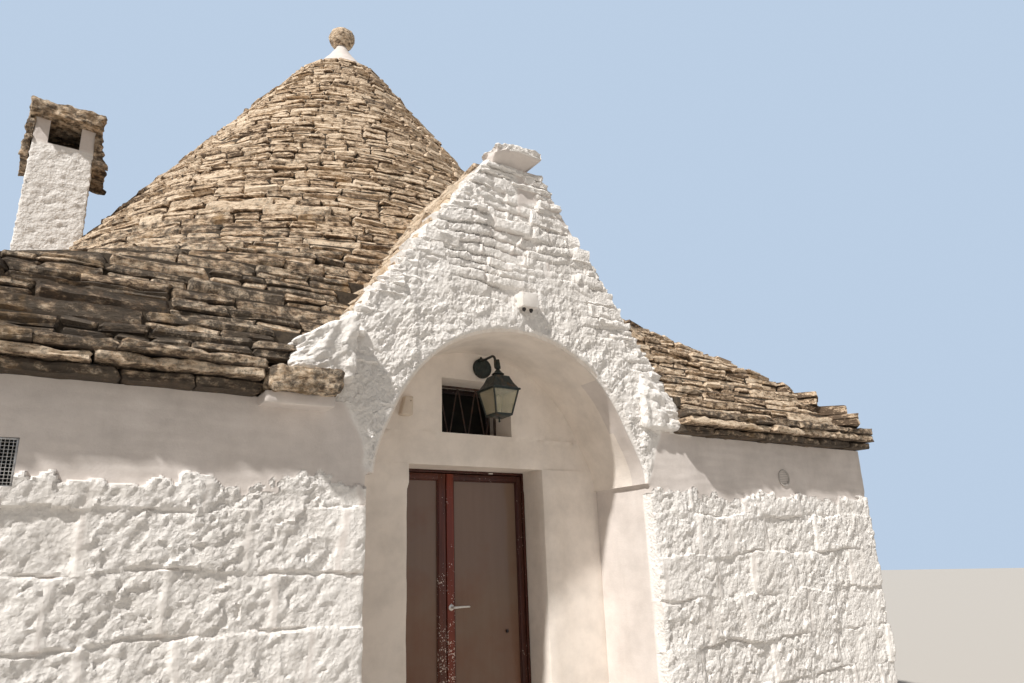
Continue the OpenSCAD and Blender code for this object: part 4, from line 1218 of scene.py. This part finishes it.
finial_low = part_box("finial_stone")[0]
foot_r, finial_r = 0.070, 0.172
finial_profile = [(foot_r + (finial_r - foot_r) * math.sin(t * math.pi / 2) ** 1.1,
                   finial_low.z + 0.005 + 0.150 * t ** 1.5) for t in np.linspace(0, 1, 14)]
finial_profile += [(finial_r * math.cos(t * math.pi / 2) ** 0.62,
                    finial_low.z + 0.160 + 0.105 * math.sin(t * math.pi / 2))
                    for t in np.linspace(0.08, 0.97, 14)]
finial = turned("finial_stone_lichened", finial_profile, 48, lumpy((0.010, 0.09, 171), (0.006, 0.035, 172)),
                roof_slab_finish)
set_stone(finial, 0.60, 0.45, "finial_stone")


# Door frame: planed softwood under many coats of red-brown gloss paint, fixed into the walls round the
# doorway. Its inner side carries the fixed halves of six lift-off hinges, and its head a small catch.
def add_bar(shape, low, high, ease=0.003):
    """A planed member with eased edges."""
    low, high = Vector(low), Vector(high)
    made = bmesh.ops.create_cube(shape, size=1.0)["verts"]
    for corner in made:
        corner.co = Vector([low[a] + (corner.co[a] + 0.5) * (high[a] - low[a]) for a in range(3)])
    edges = list(dict.fromkeys(edge for corner in made for edge in corner.link_edges))
    bmesh.ops.bevel(shape, geom=edges, offset=ease, segments=2, profile=0.5, affect="EDGES")


def add_loft(shape, sections):
    """A skin over cross-sections with the same number of points, closed at both ends."""
    rings = [[shape.verts.new(spot) for spot in section] for section in sections]
    for first, second in zip(rings[:-1], rings[1:]):
        for k in range(len(first)):
            after = (k + 1) % len(first)
            shape.faces.new((first[k], first[after], second[after], second[k]))
    shape.faces.new(rings[0][::-1])
    shape.faces.new(rings[-1])


def circle(centre, side, third, radius, sides):
    turns = [2 * math.pi * k / sides for k in range(sides)]
    return [centre + (side * math.cos(t) + third * math.sin(t)) * radius for t in turns]


def add_turned(shape, foot, axis, profile, sides=24):
    """A closed turned form on an axis, given as distances from its foot and the radii there."""
    axis = Vector(axis).normalized()
    side = axis.orthogonal().normalized()
    third = axis.cross(side)
    add_loft(shape, [circle(Vector(foot) + axis * far, side, third, radius, sides)
                     for far, radius in profile])


def built(name, shape, finish, smooth_angle=35.0):
    """The finished piece from the parts that were put together in a shape."""
    mesh = bpy.data.meshes.new(name)
    bmesh.ops.recalc_face_normals(shape, faces=shape.faces[:])
    shape.to_mesh(mesh)
    shape.free()
    return placed(name, mesh, finish, smooth_angle)


hinge_levels = (0.434, 1.181, 1.928)
narrow_pivot = (-0.539, -3.063)
main_pivot = (0.565, -3.063)
barrel = [(0, 0.0056), (0.0014, 0.007), (0.0386, 0.007), (0.040, 0.0056)]
screw_head = [(0, 0.0034), (0.0010, 0.0030), (0.0016, 0.0014)]


def add_half_hinge(shape, pivot, side, foot):
    """Half of a lift-off hinge: a barrel on the pivot, and a flap with two screws on the back of the wood."""
    add_turned(shape, (*pivot, foot), (0, 0, 1), barrel)
    start, end = sorted((pivot[0], pivot[0] + side * 0.022))
    add_bar(shape, (start, -3.070, foot), (end, -3.066, foot + 0.040), 0.0009)
    for level in (0.010, 0.030):
        add_turned(shape, (pivot[0] + side * 0.0155, -3.0662, foot + level), (0, 1, 0), screw_head, 12)


def painted_wood_finish(name, coat, thin, chipping=0.0):
    """Gloss paint brushed along the grain, dulled by weather, and chipped to a whitish primer at hand
    height and below."""
    paint = Finish(name, 0.36, **{"Specular IOR Level": 0.32})
    strokes = paint.mottle(1.0, 5.0, 0.6, paint.stretched(60.0, 60.0, 2.2))
    worn = paint.mottle(7.0, 5.0, 0.6)
    body = paint.mix(paint.ramp(worn, (0.50, 0.0), (0.75, 0.5)),
                     paint.ramp(strokes, (0.30, thin), (0.62, coat)), thin)
    band = paint.ramp(paint.maths("MULTIPLY", paint.height(), 0.5), (0.24, 0.0), (0.36, 0.13), (0.48, 0.12),
                      (0.60, 0.04), (0.70, 0.09), (0.80, 0.0))
    flakes = paint.sum(paint.mottle(11.0, 2.0), 0.35, paint.maths("MULTIPLY", band, chipping))
    flakes = paint.maths("ADD", paint.mottle(85.0, 3.0, 0.6), flakes)
    body = paint.mix(paint.ramp(flakes, (0.890, 0.0), (0.910, 1.0)), body, (0.75, 0.64, 0.56))
    return paint.done(body, strokes, 0.35, 0.0015, paint.ramp(worn, (0.3, 0.28), (0.7, 0.50)))


frame_front_y, wood_back_y, leaf_front_y = -3.12, -3.070, -3.115
frame_foot, frame_head = 0.164, 2.194
frame_paint = painted_wood_finish("dark_red_brown_paint", (0.070, 0.018, 0.010), (0.036, 0.011, 0.007))
shape = bmesh.new()
for low_x, high_x, foot in ((door_low_x, -0.542, frame_foot), (0.568, door_high_x, frame_foot),
                            (-0.5425, 0.5685, frame_head)):
    add_bar(shape, (low_x, frame_front_y, foot), (high_x, wood_back_y, door_top), 0.002)
for level in hinge_levels:
    add_half_hinge(shape, narrow_pivot, -1, level - 0.040)
    add_half_hinge(shape, main_pivot, 1, level - 0.040)
settle(built("door_frame_painted", shape, frame_paint), "house", "painted_wood", "door_frame")


def worn_metal_finish(name, bright, dull, metallic, roughness, scale=55.0):
    """Metal with its finish rubbed and spotted unevenly."""
    metal = Finish(name, roughness, Metallic=metallic)
    worn = metal.mottle(scale, 5.0, 0.65)
    return metal.done(metal.ramp(worn, (0.35, dull), (0.65, bright)), worn, 0.25, 0.0012)


satin_metal = worn_metal_finish("satin_lever_metal", (0.80, 0.77, 0.72), (0.62, 0.58, 0.53), 0.35, 0.38)
shape = bmesh.new()
add_bar(shape, (0.250, -3.127, 2.1955), (0.288, frame_front_y + 0.001, 2.2055), 0.0018)
add_turned(shape, (0.262, -3.1265, 2.2005), (0, -1, 0), [(0, 0.0032), (0.0020, 0.0026), (0.0028, 0.0012)], 12)
settle(built("door_head_catch", shape, satin_metal), "house", "lever_metal")


# Door leaves: two glazed leaves of the same painted wood, with stiles and rails, glazing beads on both
# sides of each pane and the lifting halves of the hinges. The wide one is in daily use.
leaf_foot, leaf_head = 0.174, 2.188


def add_leaf(shape, low_x, high_x, left_w, right_w, pivot, side, skip_left=False):
    """Stiles, rails, beads and hinge halves of one leaf, whose left stile may be made on its own."""
    sill, top = 0.314, 2.142
    inner_l, inner_r = low_x + left_w, high_x - right_w
    for start, end in ((low_x, inner_l), (inner_r, high_x))[skip_left:]:
        add_bar(shape, (start, leaf_front_y, leaf_foot), (end, wood_back_y, leaf_head), 0.0035)
    for start, end in ((leaf_foot, sill), (top, leaf_head)):
        add_bar(shape, (inner_l - 0.002, leaf_front_y + 0.0006, start),
                (inner_r + 0.002, wood_back_y - 0.0006, end), 0.0030)
    for front, back in ((-3.1085, -3.0957), (-3.0893, -3.0765)):
        for start, end in ((inner_l, inner_l + 0.009), (inner_r - 0.009, inner_r)):
            add_bar(shape, (start, front, sill), (end, back, top), 0.0028)
        for start, end in ((sill, sill + 0.009), (top - 0.009, top)):
            add_bar(shape, (inner_l + 0.008, front, start), (inner_r - 0.008, back, end), 0.0028)
    for level in hinge_levels:
        add_half_hinge(shape, pivot, side, level + 0.002)


# Where the two leaves meet, the fixed leaf's darker brown is painted shade and the brighter red of the wide
# leaf's meeting stile is painted light.
shaded_leaf_paint = painted_wood_finish("fixed_leaf_paint_with_painted_shade", (0.110, 0.030, 0.015),
                                   (0.060, 0.018, 0.010), chipping=0.8)
lit_stile_paint = painted_wood_finish("red_brown_paint", (0.200, 0.040, 0.020), (0.120, 0.026, 0.014),
                                 chipping=1.0)
shape = bmesh.new()
add_leaf(shape, -0.536, -0.136, 0.046, 0.060, narrow_pivot, 1)
settle(built("narrow_leaf_painted", shape, shaded_leaf_paint), "narrow_door_leaf", "painted_wood", "narrow_leaf")
shape = bmesh.new()
add_leaf(shape, -0.126, 0.562, 0.060, 0.046, main_pivot, -1, skip_left=True)
settle(built("main_leaf_painted", shape, frame_paint), "main_door_leaf", "painted_wood", "main_leaf")
lever_x, lever_z = -0.096, 1.215
shape = bmesh.new()
add_bar(shape, (-0.126, leaf_front_y, leaf_foot), (-0.066, wood_back_y, leaf_head), 0.0035)
meeting_stile = built("main_leaf_meeting_stile", shape, lit_stile_paint)
cut_out(meeting_stile, (lever_x - 0.0105, -3.2, lever_z - 0.0105), (lever_x + 0.0105, -3.0, lever_z + 0.0105))
settle(meeting_stile, "main_door_leaf", "painted_wood")

# Window glass with a film of brown dust and the marks of hard water.
pane = Finish("dusty_door_glass", 0.10, IOR=1.5, **{"Transmission Weight": 0.10, "Specular IOR Level": 0.28})
dust = pane.ramp(pane.sum(pane.height(), 0.30, pane.mottle(3.0, 5.0)), (0.50, (0.205, 0.095, 0.058)),
                 (1.0, (0.225, 0.150, 0.108)))
streaks = pane.ramp(pane.mottle(1.0, 6.0, 0.6, pane.stretched(22.0, 22.0, 1.6)), (0.35, 0.94), (0.70, 1.0))
film = pane.ramp(pane.mottle(9.0, 7.0, 0.7), (0.35, 0.07), (0.70, 0.22))
dress(pane.done(pane.mix(1.0, dust, streaks, "MULTIPLY"), roughness=film), "narrow_leaf_pane",
      "main_leaf_pane")
shape = bmesh.new()
add_turned(shape, (0.393, -3.0953, 1.018), (0, -1, 0),
           [(0, 0.006), (0.004, 0.006), (0.006, 0.0115), (0.013, 0.0125), (0.018, 0.010), (0.020, 0.005)], 20)
dark_metal = worn_metal_finish("dark_turned_knob", (0.050, 0.026, 0.020), (0.022, 0.012, 0.010), 0.2, 0.4)
settle(built("main_pane_knob", shape, dark_metal), "main_door_leaf", "dark_iron")


# Lever handle: a cast lever of pale metal on each side of the wide leaf, on one square spindle, with a
# round rose against the wood.
def add_swept(shape, path, radii, sides=16):
    """A closed round bar along a path of points, with its radius at each of them."""
    path = [Vector(spot) for spot in path]
    side = (path[1] - path[0]).orthogonal().normalized()
    sections = []
    for before, spot, after, radius in zip(path[:1] + path, path, path[1:] + path[-1:], radii):
        ahead = (after - before).normalized()
        side = (side - ahead * side.dot(ahead)).normalized()
        sections.append(circle(spot, side, ahead.cross(side), radius, sides))
    add_loft(shape, sections)


def add_lever(shape, leaf_y, outward):
    """Rose, neck and grip on one side of the leaf."""
    rose_foot = leaf_y + outward * 0.0003
    add_turned(shape, (lever_x, rose_foot, lever_z), (0, outward, 0),
               [(0, 0.0215), (0.0015, 0.022), (0.0055, 0.021), (0.008, 0.017), (0.0083, 0.012)], 32)
    grip_y = leaf_y + outward * 0.048
    path = [(lever_x, rose_foot + outward * 0.006, lever_z), (lever_x, grip_y - outward * 0.016, lever_z)]
    radii = [0.0092, 0.0086]
    for turn in np.linspace(0.2, 1.0, 5) * math.pi / 2:
        path.append((lever_x + 0.016 * (1 - math.cos(turn)),
                     grip_y - outward * 0.016 * (1 - math.sin(turn)), lever_z))
        radii.append(0.0088)
    for share in np.linspace(0.12, 1.0, 10):
        path.append((lever_x + 0.016 + 0.112 * share, grip_y + outward * 0.002 * math.sin(share * math.pi),
                     lever_z + 0.0012 * math.sin(share * 3)))
        radii.append(0.0088 - 0.0024 * share)
    path += [(lever_x + 0.1315, grip_y, lever_z), (lever_x + 0.1335, grip_y, lever_z)]
    add_swept(shape, path, radii + [0.0050, 0.0022])


shape = bmesh.new()
add_turned(shape, (lever_x, leaf_front_y - 0.006, lever_z), (0, 1, 0), [(0, 0.0056), (0.057, 0.0056)], 4)
add_lever(shape, leaf_front_y, -1)
add_lever(shape, wood_back_y, 1)
settle(built("door_lever_cast", shape, satin_metal), "lever_handle", "lever_metal", "door_lever")


# Window over the door: a flat iron frame with seven slanting bars stands in front of a small fixed sash
# of the same dark painted wood, with one pane.
def iron_finish(name, paint, rust, rust_share, dust=(0.10, 0.10, 0.085)):
    """Forged iron under old dark paint, with rust where the paint has gone and specks of dust."""
    iron = Finish(name, 0.50, Metallic=0.25)
    coat = iron.ramp(iron.mottle(26.0, 5.0), (0.3, tuple(0.55 * c for c in paint)), (0.7, paint))
    rusty = iron.ramp(iron.mottle(17.0, 7.0, 0.7), (0.60 - 0.25 * rust_share, 0.0),
                      (0.74 - 0.25 * rust_share, 0.9))
    specks = iron.ramp(iron.mottle(120.0, 3.0), (0.58, 0.0), (0.70, 0.6))
    return iron.done(iron.mix(specks, iron.mix(rusty, coat, rust), dust), iron.mottle(90.0, 5.0, 0.7), 0.5,
                     0.0015, iron.ramp(iron.mottle(40.0, 4.0), (0.3, 0.38), (0.7, 0.72)))


def add_rim(shape, low, high, front, back, wide, ease):
    """A flat frame from four bars, given by its lower left and upper right corners."""
    for start, end in ((low, (high[0], low[1] + wide)), ((low[0], high[1] - wide), high),
                       ((low[0], low[1] + wide), (low[0] + wide, high[1] - wide)),
                       ((high[0] - wide, low[1] + wide), (high[0], high[1] - wide))):
        add_bar(shape, (start[0], front, start[1]), (end[0], back, end[1]), ease)


grille_iron = iron_finish("grille_iron", (0.085, 0.052, 0.040), (0.13, 0.055, 0.028), 0.35)
grille_front, grille_middle, grille_back = -3.155, -3.147, -3.139
bar_t, zigzag = 0.016, 7
pitch = (window_high[0] - window_low[0] - 2 * bar_t) / zigzag
shape = bmesh.new()
add_rim(shape, window_low, window_high, grille_front, grille_back, bar_t, 0.0015)
for i in range(zigzag):
    middle = window_low[0] + bar_t + (i + 0.5) * pitch
    lean = 0.47 * pitch * (1 if i % 2 == 0 else -1)
    bends = ((-1, window_low[1] + 0.012), (-0.5, 2.56), (0.5, 2.77), (1, window_high[1] - 0.012))
    path = [(middle + share * lean, grille_middle, level) for share, level in bends]
    add_swept(shape, path, [0.0054] * len(path), 8)
settle(built("window_grille_forged", shape, grille_iron), "house", "dark_iron", "window_grille")

sash_paint = painted_wood_finish("sash_paint", (0.030, 0.014, 0.011), (0.016, 0.010, 0.008))
sash_front, sash_back, sash_w = -3.065, -3.025, 0.040
shape = bmesh.new()
for start, end in ((window_low[0], window_low[0] + sash_w), (window_high[0] - sash_w, window_high[0])):
    add_bar(shape, (start, sash_front, window_low[1]), (end, sash_back, window_high[1]), 0.004)
for start, end in ((window_low[1], window_low[1] + sash_w), (window_high[1] - sash_w, window_high[1])):
    add_bar(shape, (window_low[0] + sash_w - 0.002, sash_front + 0.0006, start),
            (window_high[0] - sash_w + 0.002, sash_back - 0.0006, end), 0.004)
settle(built("window_sash_painted", shape, sash_paint), "house", "painted_wood", "window_sash")
# Painted shade: the pane is nearly black, with little gloss, for the unlit room behind it.
room_shade_glass = Finish("window_glass_with_painted_room_shade", 0.45, **{"Specular IOR Level": 0.06})
dress(room_shade_glass.done(room_shade_glass.ramp(room_shade_glass.mottle(8.0, 5.0), (0.3, (0.006, 0.006, 0.005)), (0.7, (0.018, 0.016, 0.012)))),
      "window_pane")

# Lantern: folded and forged iron, painted dark green, with four frosted panes round a tube lamp. A bent
# arm carries it from a round plate on the wall over the window.
lantern_iron = iron_finish("lantern_iron", (0.026, 0.036, 0.031), (0.115, 0.058, 0.024), 0.22,
                           (0.085, 0.078, 0.060))
lantern_x, lantern_y = 0.030, -3.650
plate_x, plate_z = 0.050, 2.980
arm_y, arm_z, arm_bend, arm_r = -3.615, 3.030, 0.045, 0.0095
shape = bmesh.new()
add_turned(shape, (plate_x, porch_back, plate_z), (0, -1, 0),
           [(0, 0.078), (0.003, 0.080), (0.019, 0.080), (0.0235, 0.0785), (0.025, 0.0755), (0.0235, 0.0725),
            (0.0185, 0.069), (0.0165, 0.062), (0.0175, 0.030), (0.019, 0.012), (0.0195, 0.004)], 48)
add_turned(shape, (0.044, porch_back - 0.008, 3.060), (0, 0, 1),
           [(0, 0.008), (0.004, 0.009), (0.009, 0.0085), (0.013, 0.005)], 16)
arm_path = [(porch_back - 0.012, arm_z), (porch_back - 0.06, arm_z), (arm_y + arm_bend + 0.06, arm_z)]
arm_path += [(arm_y + arm_bend * (1 - math.sin(turn)), arm_z - arm_bend * (1 - math.cos(turn)))
             for turn in np.linspace(0.0, 1.0, 9) * math.pi / 2]
arm_path += [(arm_y, 2.945), (arm_y - 0.004, 2.931), (arm_y - 0.014, 2.925), (lantern_y, 2.925)]
add_swept(shape, [(lantern_x, y, z) for y, z in arm_path], [arm_r] * len(arm_path), 14)
add_turned(shape, (lantern_x, lantern_y, 2.911), (0, 0, 1),
           [(0, 0.014), (0.003, 0.022), (0.022, 0.022), (0.026, 0.0195), (0.050, 0.0180), (0.055, 0.0150),
            (0.070, 0.0145), (0.0735, 0.011), (0.075, 0.005)], 28)
settle(built("lantern_arm_forged", shape, lantern_iron), "house", "dark_iron", "lantern_bracket")

four_corners = ((-1, -1), (1, -1), (1, 1), (-1, 1))


def add_tapered(shape, base, levels):
    """Four folded sides through square sections, given as heights over a base and widths."""
    add_loft(shape, [[(lantern_x + sx * width / 2, lantern_y + sy * width / 2, base + level)
                      for sx, sy in four_corners]
                     for level, width in levels])


pane_foot, pane_head, roof_head = 2.555, 2.745, 2.850
foot_w, head_w, roof_head_w = 0.147, 0.228, 0.120
shape = bmesh.new()
add_tapered(shape, pane_head, [
    (-0.001, head_w - 0.014), (-0.003, head_w - 0.001), (0, head_w + 0.001), (0.006, head_w - 0.001),
    (0.009, head_w - 0.011), (0.052, head_w - 0.064), (roof_head - 0.007 - pane_head, roof_head_w + 0.005),
    (roof_head - 0.003 - pane_head, roof_head_w + 0.004), (roof_head - pane_head, roof_head_w - 0.002),
    (roof_head + 0.004 - pane_head, 0.060)])
for sx, sy in four_corners:
    foot, head = (Vector((lantern_x + sx * (wide / 2 - 0.006), lantern_y + sy * (wide / 2 - 0.006), level))
                  for wide, level in ((foot_w, pane_foot - 0.002), (head_w, pane_head + 0.001)))
    add_swept(shape, [foot, foot.lerp(head, 0.5), head], [0.0068] * 3, 8)
    add_turned(shape, (lantern_x + sx * head_w / 2, lantern_y + sy * head_w / 2, pane_head - 0.0085),
               (0, 0, 1), [(0, 0.002), (0.002, 0.006), (0.0055, 0.0085), (0.0085, 0.009),
                           (0.0115, 0.0085), (0.015, 0.006), (0.017, 0.002)], 16)
for level, width in ((pane_foot + 0.003, foot_w - 0.011), (pane_head - 0.005, head_w - 0.014)):
    half = width / 2
    for low, high in (((-half, -half - 0.003), (half, -half + 0.004)),
                      ((-half, half - 0.004), (half, half + 0.003)),
                      ((-half - 0.003, -half), (-half + 0.004, half)),
                      ((half - 0.004, -half), (half + 0.003, half))):
        add_bar(shape, (lantern_x + low[0], lantern_y + low[1], level - 0.005),
                (lantern_x + high[0], lantern_y + high[1], level + 0.006), 0.0012)
add_tapered(shape, pane_foot, [(-0.012, foot_w - 0.032), (-0.010, foot_w - 0.028), (-0.003, foot_w - 0.002),
                               (0, foot_w), (0.001, foot_w - 0.004)])
for foot, profile, sides in (
        (pane_foot - 0.050, [(0, 0.003), (0.002, 0.007), (0.006, 0.0085), (0.010, 0.007), (0.013, 0.0062),
                             (0.034, 0.0065), (0.037, 0.009), (0.041, 0.011), (0.046, 0.011)], 20),
        (roof_head, [(0, 0.016), (0.003, 0.012), (0.017, 0.011)], 20),
        (2.866, [(0, 0.044), (0.0012, 0.047), (0.005, 0.047), (0.007, 0.044), (0.014, 0.035), (0.026, 0.0235),
                 (0.038, 0.0150), (0.046, 0.0120)], 36)):
    add_turned(shape, (lantern_x, lantern_y, foot), (0, 0, 1), profile, sides)
settle(built("lantern_cage_folded", shape, lantern_iron, 28.0), "house", "dark_iron", "lantern_cage")

frosted = Finish("frosted_cream_glass", 0.09, IOR=1.45, **{"Transmission Weight": 0.72})
frosted_dust = frosted.ramp(frosted.mottle(11.0, 6.0, 0.65), (0.30, (0.62, 0.58, 0.40)),
                            (0.70, (0.88, 0.82, 0.66)))
frosted_glass = frosted.done(frosted_dust, frosted.mottle(240.0, 2.0), 0.2, 0.0006)
shape = bmesh.new()
pane_low_z, pane_top_z = 2.5605, 2.7385
for turn in range(4):
    spin = Matrix.Rotation(turn * math.pi / 2, 3, "Z")
    panel = []
    for depth in (0.0, 0.003):
        for level, side in ((pane_low_z, -1), (pane_low_z, 1), (pane_top_z, 1), (pane_top_z, -1)):
            half = (0.135 + 0.081 * (level - pane_foot) / (pane_head - pane_foot)) / 2
            spot = spin @ Vector((side * (half - 0.007), -(half - 0.0005 - depth), 0.0))
            panel.append(shape.verts.new((lantern_x + spot.x, lantern_y + spot.y, level)))
    for corner_set in ((0, 1, 2, 3), (7, 6, 5, 4), (0, 4, 5, 1), (1, 5, 6, 2), (2, 6, 7, 3), (3, 7, 4, 0)):
        shape.faces.new([panel[k] for k in corner_set])
settle(built("lantern_panes_frosted", shape, frosted_glass), "house", "lantern_glass", "lantern_panes")
tube = Finish("lamp_tube_white", 0.3)
tube_white = tube.done(tube.ramp(tube.mottle(30.0), (0.3, (0.80, 0.74, 0.62)), (0.7, (0.95, 0.90, 0.80))))
shape = bmesh.new()
add_turned(shape, (lantern_x - 0.012, lantern_y - 0.018, pane_foot), (0, 0, 1),
           [(0, 0.016), (0.022, 0.016), (0.026, 0.0125), (0.032, 0.013), (0.135, 0.0135), (0.145, 0.010),
            (0.149, 0.004)], 24)
settle(built("lantern_lamp_tube", shape, tube_white), "house", "lantern_glass")


# Vents and wiring box: a woven wire mesh closes the square vent on the left, a grey moulded cover with
# a lip the round one on the right. The box on the gable joins the lamp wiring, with two glands below.
def plastic_finish(name, pale, dull, roughness):
    """Moulded plastic, greyed and dusty from years outdoors."""
    plastic = Finish(name, roughness)
    return plastic.done(plastic.ramp(plastic.mottle(22.0, 6.0, 0.6), (0.32, dull), (0.66, pale)),
                        plastic.mottle(160.0, 3.0), 0.15, 0.0008)


wire_metal = worn_metal_finish("galvanised_mesh", (0.62, 0.59, 0.55), (0.38, 0.35, 0.32), 0.45, 0.5, 40.0)
mesh_y = (vent_low.y + vent_high.y) / 2
rim_w, wire_r, mesh_pitch, weave = 0.010, 0.0019, 0.0165, 0.0012
shape = bmesh.new()
add_rim(shape, (vent_low.x, vent_low.z), (vent_high.x, vent_high.z), vent_low.y, vent_high.y, rim_w, 0.0008)
across = steps(vent_low.x + 0.5 * rim_w, vent_high.x - 0.5 * rim_w, mesh_pitch)
upward = steps(vent_low.z + 0.5 * rim_w, vent_high.z - 0.5 * rim_w, mesh_pitch)
woven = [[(x, mesh_y - weave * (-1) ** (i + j), z) for j, z in enumerate(upward)]
         for i, x in enumerate(across)]
for wires in (woven, list(zip(*woven))):
    for wire in wires[1:-1]:
        add_swept(shape, wire, [wire_r] * len(wire), 5)
settle(built("mesh_vent_woven", shape, wire_metal), "house", "dark_iron", "mesh_vent")

vent_grey = plastic_finish("greyed_vent_plastic", (0.50, 0.46, 0.42), (0.36, 0.33, 0.30), 0.55)
round_low, round_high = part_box("round_vent")
round_x, round_z = (round_low.x + round_high.x) / 2, (round_low.z + round_high.z) / 2
shape = bmesh.new()
add_turned(shape, (round_x, -half_house + 0.01, round_z), (0, -1, 0),
           [(0, 0.074), (0.018, 0.075), (0.0215, 0.0745), (0.0238, 0.0725), (0.0240, 0.066), (0.0225, 0.0605),
            (0.0165, 0.0585), (0.0150, 0.056), (0.0150, 0.004)], 48)
for i in range(7):
    level = round_z + (i - 3) * 0.0150
    half = math.sqrt(0.0575 ** 2 - (level - round_z) ** 2)
    add_bar(shape, (round_x - half, -half_house - 0.0095, level - 0.0032),
            (round_x + half, -half_house - 0.004, level + 0.0032), 0.0012)
settle(built("round_vent_moulded", shape, vent_grey), "house", "vent_plastic", "round_vent")

box_white = plastic_finish("weathered_white_plastic", (0.84, 0.80, 0.75), (0.72, 0.67, 0.62), 0.45)
box_low, box_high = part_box("junction_box")
lid_y = box_low.y + 0.018
shape = bmesh.new()
add_bar(shape, (box_low.x + 0.002, lid_y, box_low.z + 0.002),
        (box_high.x - 0.002, box_high.y, box_high.z - 0.002), 0.004)
add_bar(shape, (box_low.x, box_low.y + 0.001, box_low.z), (box_high.x, lid_y - 0.0015, box_high.z), 0.005)
for x in (box_low.x + 0.014, box_high.x - 0.014):
    for z in (box_low.z + 0.014, box_high.z - 0.014):
        add_turned(shape, (x, box_low.y + 0.0015, z), (0, -1, 0),
                   [(0, 0.0055), (0.001, 0.0055), (0.0015, 0.0048)], 12)
settle(built("junction_box_moulded", shape, box_white), "house", "vent_plastic", "junction_box")
gland_black = plastic_finish("black_gland_rubber", (0.040, 0.032, 0.028), (0.018, 0.015, 0.013), 0.6)
shape = bmesh.new()
for x in (box_low.x + 0.038, box_high.x - 0.040):
    add_turned(shape, (x, -half_house - 0.045, box_low.z + 0.003), (0, 0, -1),
               [(0, 0.012), (0.006, 0.012), (0.007, 0.0145), (0.016, 0.0145), (0.018, 0.011), (0.026, 0.009),
                (0.028, 0.005)], 12)
settle(built("junction_box_glands", shape, gland_black), "house", "vent_plastic")
